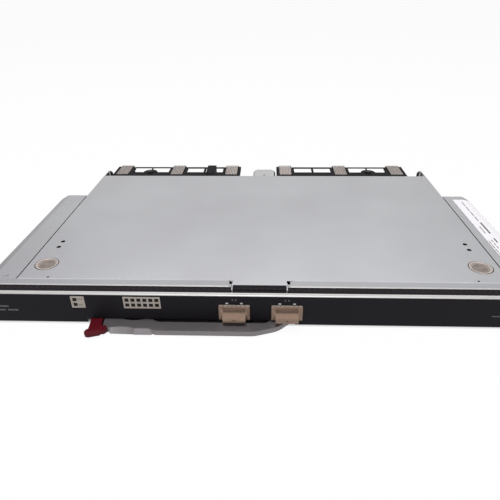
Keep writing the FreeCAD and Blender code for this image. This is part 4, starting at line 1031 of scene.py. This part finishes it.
@dataclass
class Studio:
    """Pale floor, soft lights and the camera."""

    camera_place: tuple[float, float, float] = (0.005008, -0.412769, 0.225342)
    camera_turn: tuple[float, float, float] = (59.9412, 0.6485, 2.0045)
    lens_mm: float = 33.196
    floor_size: float = 40.0
    floor_drop: float = 0.0005
    world_level: float = 0.3
    # Brightness that metal mirrors, by height from the horizon to straight above.
    mirror_levels: tuple[tuple[float, float], ...] = (
        (0.36, 0.88), (0.56, 1.04), (0.66, 2.2), (0.76, 0.98), (0.95, 0.98)
    )
    mirror_peak: float = 2.2
    side_level: float = 0.6
    # How far to the sides the mirrored light starts and ends its fall to that level.
    side_fall: tuple[float, float] = (0.3, 0.7)
    key_place: tuple[float, float, float] = (-0.1, -0.15, 2.0)
    key_watts: float = 30.0
    key_size: float = 0.6
    fill_place: tuple[float, float, float] = (0.0, -1.6, 0.4)
    fill_watts: float = 4.0
    fill_size: float = 1.0
    floor_hide: float = 0.95
    shade_rim: float = 0.004

    def build(self) -> None:
        """Set up the whole studio."""
        self.floor()
        self.world()
        self.lamp("key_light", self.key_place, self.key_watts, self.key_size).visible_glossy = False
        self.lamp("fill_light", self.fill_place, self.fill_watts, self.fill_size)
        self.camera()
        bpy.context.scene.view_settings.view_transform = "Standard"

    def seen(self, tree: bpy.types.NodeTree) -> bpy.types.NodeSocket:
        """Tell the rays that show a background from those that light the object.

        Args:
            tree: node tree of the floor or the world.

        Returns:
            Socket that is 1 for camera, glossy and transmission rays.
        """
        path = add_node(tree, "ShaderNodeLightPath").outputs
        either = add_node(
            tree, "ShaderNodeMath",
            links={0: path["Is Camera Ray"], 1: path["Is Glossy Ray"]}, operation="MAXIMUM",
        )
        every = add_node(
            tree, "ShaderNodeMath",
            links={0: either.outputs["Value"], 1: path["Is Transmission Ray"]}, operation="MAXIMUM",
        )
        return every.outputs["Value"]

    def beyond(self, tree: bpy.types.NodeTree) -> bpy.types.NodeSocket:
        """Tell the open floor from the floor in the module's own shade.

        Args:
            tree: node tree of the floor.

        Returns:
            Socket that rises from 0 under the module to the floor's white outside.
        """
        low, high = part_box("front_overlay")[0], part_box("base_tray")[1]
        middle = (low + high) / 2
        reach = Vector((-low.x, (high.y - low.y) / 2, 0.0))
        place = add_node(tree, "ShaderNodeTexCoord").outputs["Object"]
        moved = add_node(
            tree, "ShaderNodeVectorMath", {1: (0.0, middle.y, 0.0)}, {0: place}, operation="SUBTRACT"
        ).outputs["Vector"]
        size = add_node(
            tree, "ShaderNodeVectorMath", links={0: moved}, operation="ABSOLUTE"
        ).outputs["Vector"]
        past = add_node(
            tree, "ShaderNodeVectorMath", {1: reach}, {0: size}, operation="SUBTRACT"
        ).outputs["Vector"]
        sides = add_node(tree, "ShaderNodeSeparateXYZ", links={"Vector": past}).outputs
        most = add_node(
            tree, "ShaderNodeMath", links={0: sides["X"], 1: sides["Y"]}, operation="MAXIMUM"
        ).outputs["Value"]
        return add_node(
            tree, "ShaderNodeMapRange",
            {"From Min": -self.shade_rim, "From Max": 0.0, "To Max": self.floor_hide}, {"Value": most},
        ).outputs["Result"]

    def floor(self) -> None:
        """Lay a wide pale floor under the module."""
        half = self.floor_size / 2
        mesh = bpy.data.meshes.new("floor")
        corners = [(-half, -half, 0), (half, -half, 0), (half, half, 0), (-half, half, 0)]
        mesh.from_pydata(corners, [], [(0, 1, 2, 3)])
        plane = bpy.data.objects.new("floor", mesh)
        bpy.context.scene.collection.objects.link(plane)
        paper = bpy.data.materials.new("white_paper")
        paper.use_nodes = True
        tree = paper.node_tree
        tree.nodes.clear()
        matt = add_node(tree, "ShaderNodeBsdfDiffuse", {"Color": linear("#f4f4f4")})
        bright = add_node(tree, "ShaderNodeEmission", {"Strength": 1.0})
        share = add_node(
            tree, "ShaderNodeMath", links={0: self.seen(tree), 1: self.beyond(tree)}, operation="MULTIPLY"
        )
        both = add_node(
            tree, "ShaderNodeMixShader",
            links={0: share.outputs["Value"], 1: matt.outputs["BSDF"], 2: bright.outputs["Emission"]},
        )
        add_node(tree, "ShaderNodeOutputMaterial", links={"Surface": both.outputs["Shader"]})
        mesh.materials.append(paper)
        plane.location.z = -self.floor_drop

    def world(self) -> None:
        """Light evenly from all round, with white where it is seen."""
        world = bpy.data.worlds.new("studio")
        bpy.context.scene.world = world
        world.use_nodes = True
        tree = world.node_tree
        tree.nodes.clear()
        way = add_node(tree, "ShaderNodeTexCoord").outputs["Generated"]
        sides = add_node(tree, "ShaderNodeSeparateXYZ", links={"Vector": way}).outputs
        ramp = add_node(tree, "ShaderNodeValToRGB", links={"Fac": sides["Z"]})
        stops = ramp.color_ramp.elements
        for extra in self.mirror_levels[2:]:
            stops.new(extra[0])
        for stop, (height, level) in zip(stops, self.mirror_levels):
            grey = level / self.mirror_peak
            stop.position, stop.color = height, (grey, grey, grey, 1.0)
        outward = add_node(tree, "ShaderNodeMath", links={0: sides["X"]}, operation="ABSOLUTE")
        fall = add_node(
            tree, "ShaderNodeMapRange",
            {"From Min": self.side_fall[0], "From Max": self.side_fall[1], "To Min": self.mirror_peak,
             "To Max": self.mirror_peak * self.side_level},
            {"Value": outward.outputs["Value"]},
        )
        paper = {"Color": (1.0, 1.0, 1.0, 1.0)}
        light = add_node(tree, "ShaderNodeBackground", {"Strength": self.world_level, **paper})
        mirror = add_node(
            tree, "ShaderNodeBackground",
            links={"Color": ramp.outputs["Color"], "Strength": fall.outputs["Result"]},
        )
        white = add_node(tree, "ShaderNodeBackground", {"Strength": 1.0, **paper})
        path = add_node(tree, "ShaderNodeLightPath").outputs
        shown = add_node(
            tree, "ShaderNodeMixShader",
            links={0: path["Is Glossy Ray"], 1: white.outputs["Background"], 2: mirror.outputs["Background"]},
        )
        both = add_node(
            tree, "ShaderNodeMixShader",
            links={0: self.seen(tree), 1: light.outputs["Background"], 2: shown.outputs["Shader"]},
        )
        add_node(tree, "ShaderNodeOutputWorld", links={"Surface": both.outputs["Shader"]})

    def lamp(
        self, name: str, place: tuple[float, float, float], watts: float, size: float
    ) -> bpy.types.Object:
        """Hang one large soft lamp that faces the module.

        Args:
            name: name of the lamp.
            place: where it hangs, in metres.
            watts: its power.
            size: its width, in metres.

        Returns:
            The lamp.
        """
        data = bpy.data.lights.new(name, "AREA")
        data.shape = "DISK"
        data.size = size
        data.energy = watts
        lamp = bpy.data.objects.new(name, data)
        lamp.location = place
        lamp.rotation_euler = (-Vector(place)).to_track_quat("-Z", "Y").to_euler()
        bpy.context.scene.collection.objects.link(lamp)
        return lamp

    def camera(self) -> None:
        """Stand the camera where the photograph was taken."""
        data = bpy.data.cameras.new("photo_camera")
        data.sensor_width = 36.0
        data.lens = self.lens_mm
        data.clip_end = 100.0
        camera = bpy.data.objects.new("photo_camera", data)
        camera.location = self.camera_place
        camera.rotation_euler = Euler([math.radians(turn) for turn in self.camera_turn])
        bpy.context.scene.collection.objects.link(camera)
        bpy.context.scene.camera = camera


def main() -> None:
    """Build and dress every sub-assembly, then the studio."""
    logging.basicConfig(level=logging.INFO)
    for assembly in (Chassis(), FrontPanel(), LinkPorts(), Ejector(), Electronics(), Studio()):
        assembly.build()
        LOG.info("%s done", type(assembly).__name__)


if __name__ == "__main__":
    main()
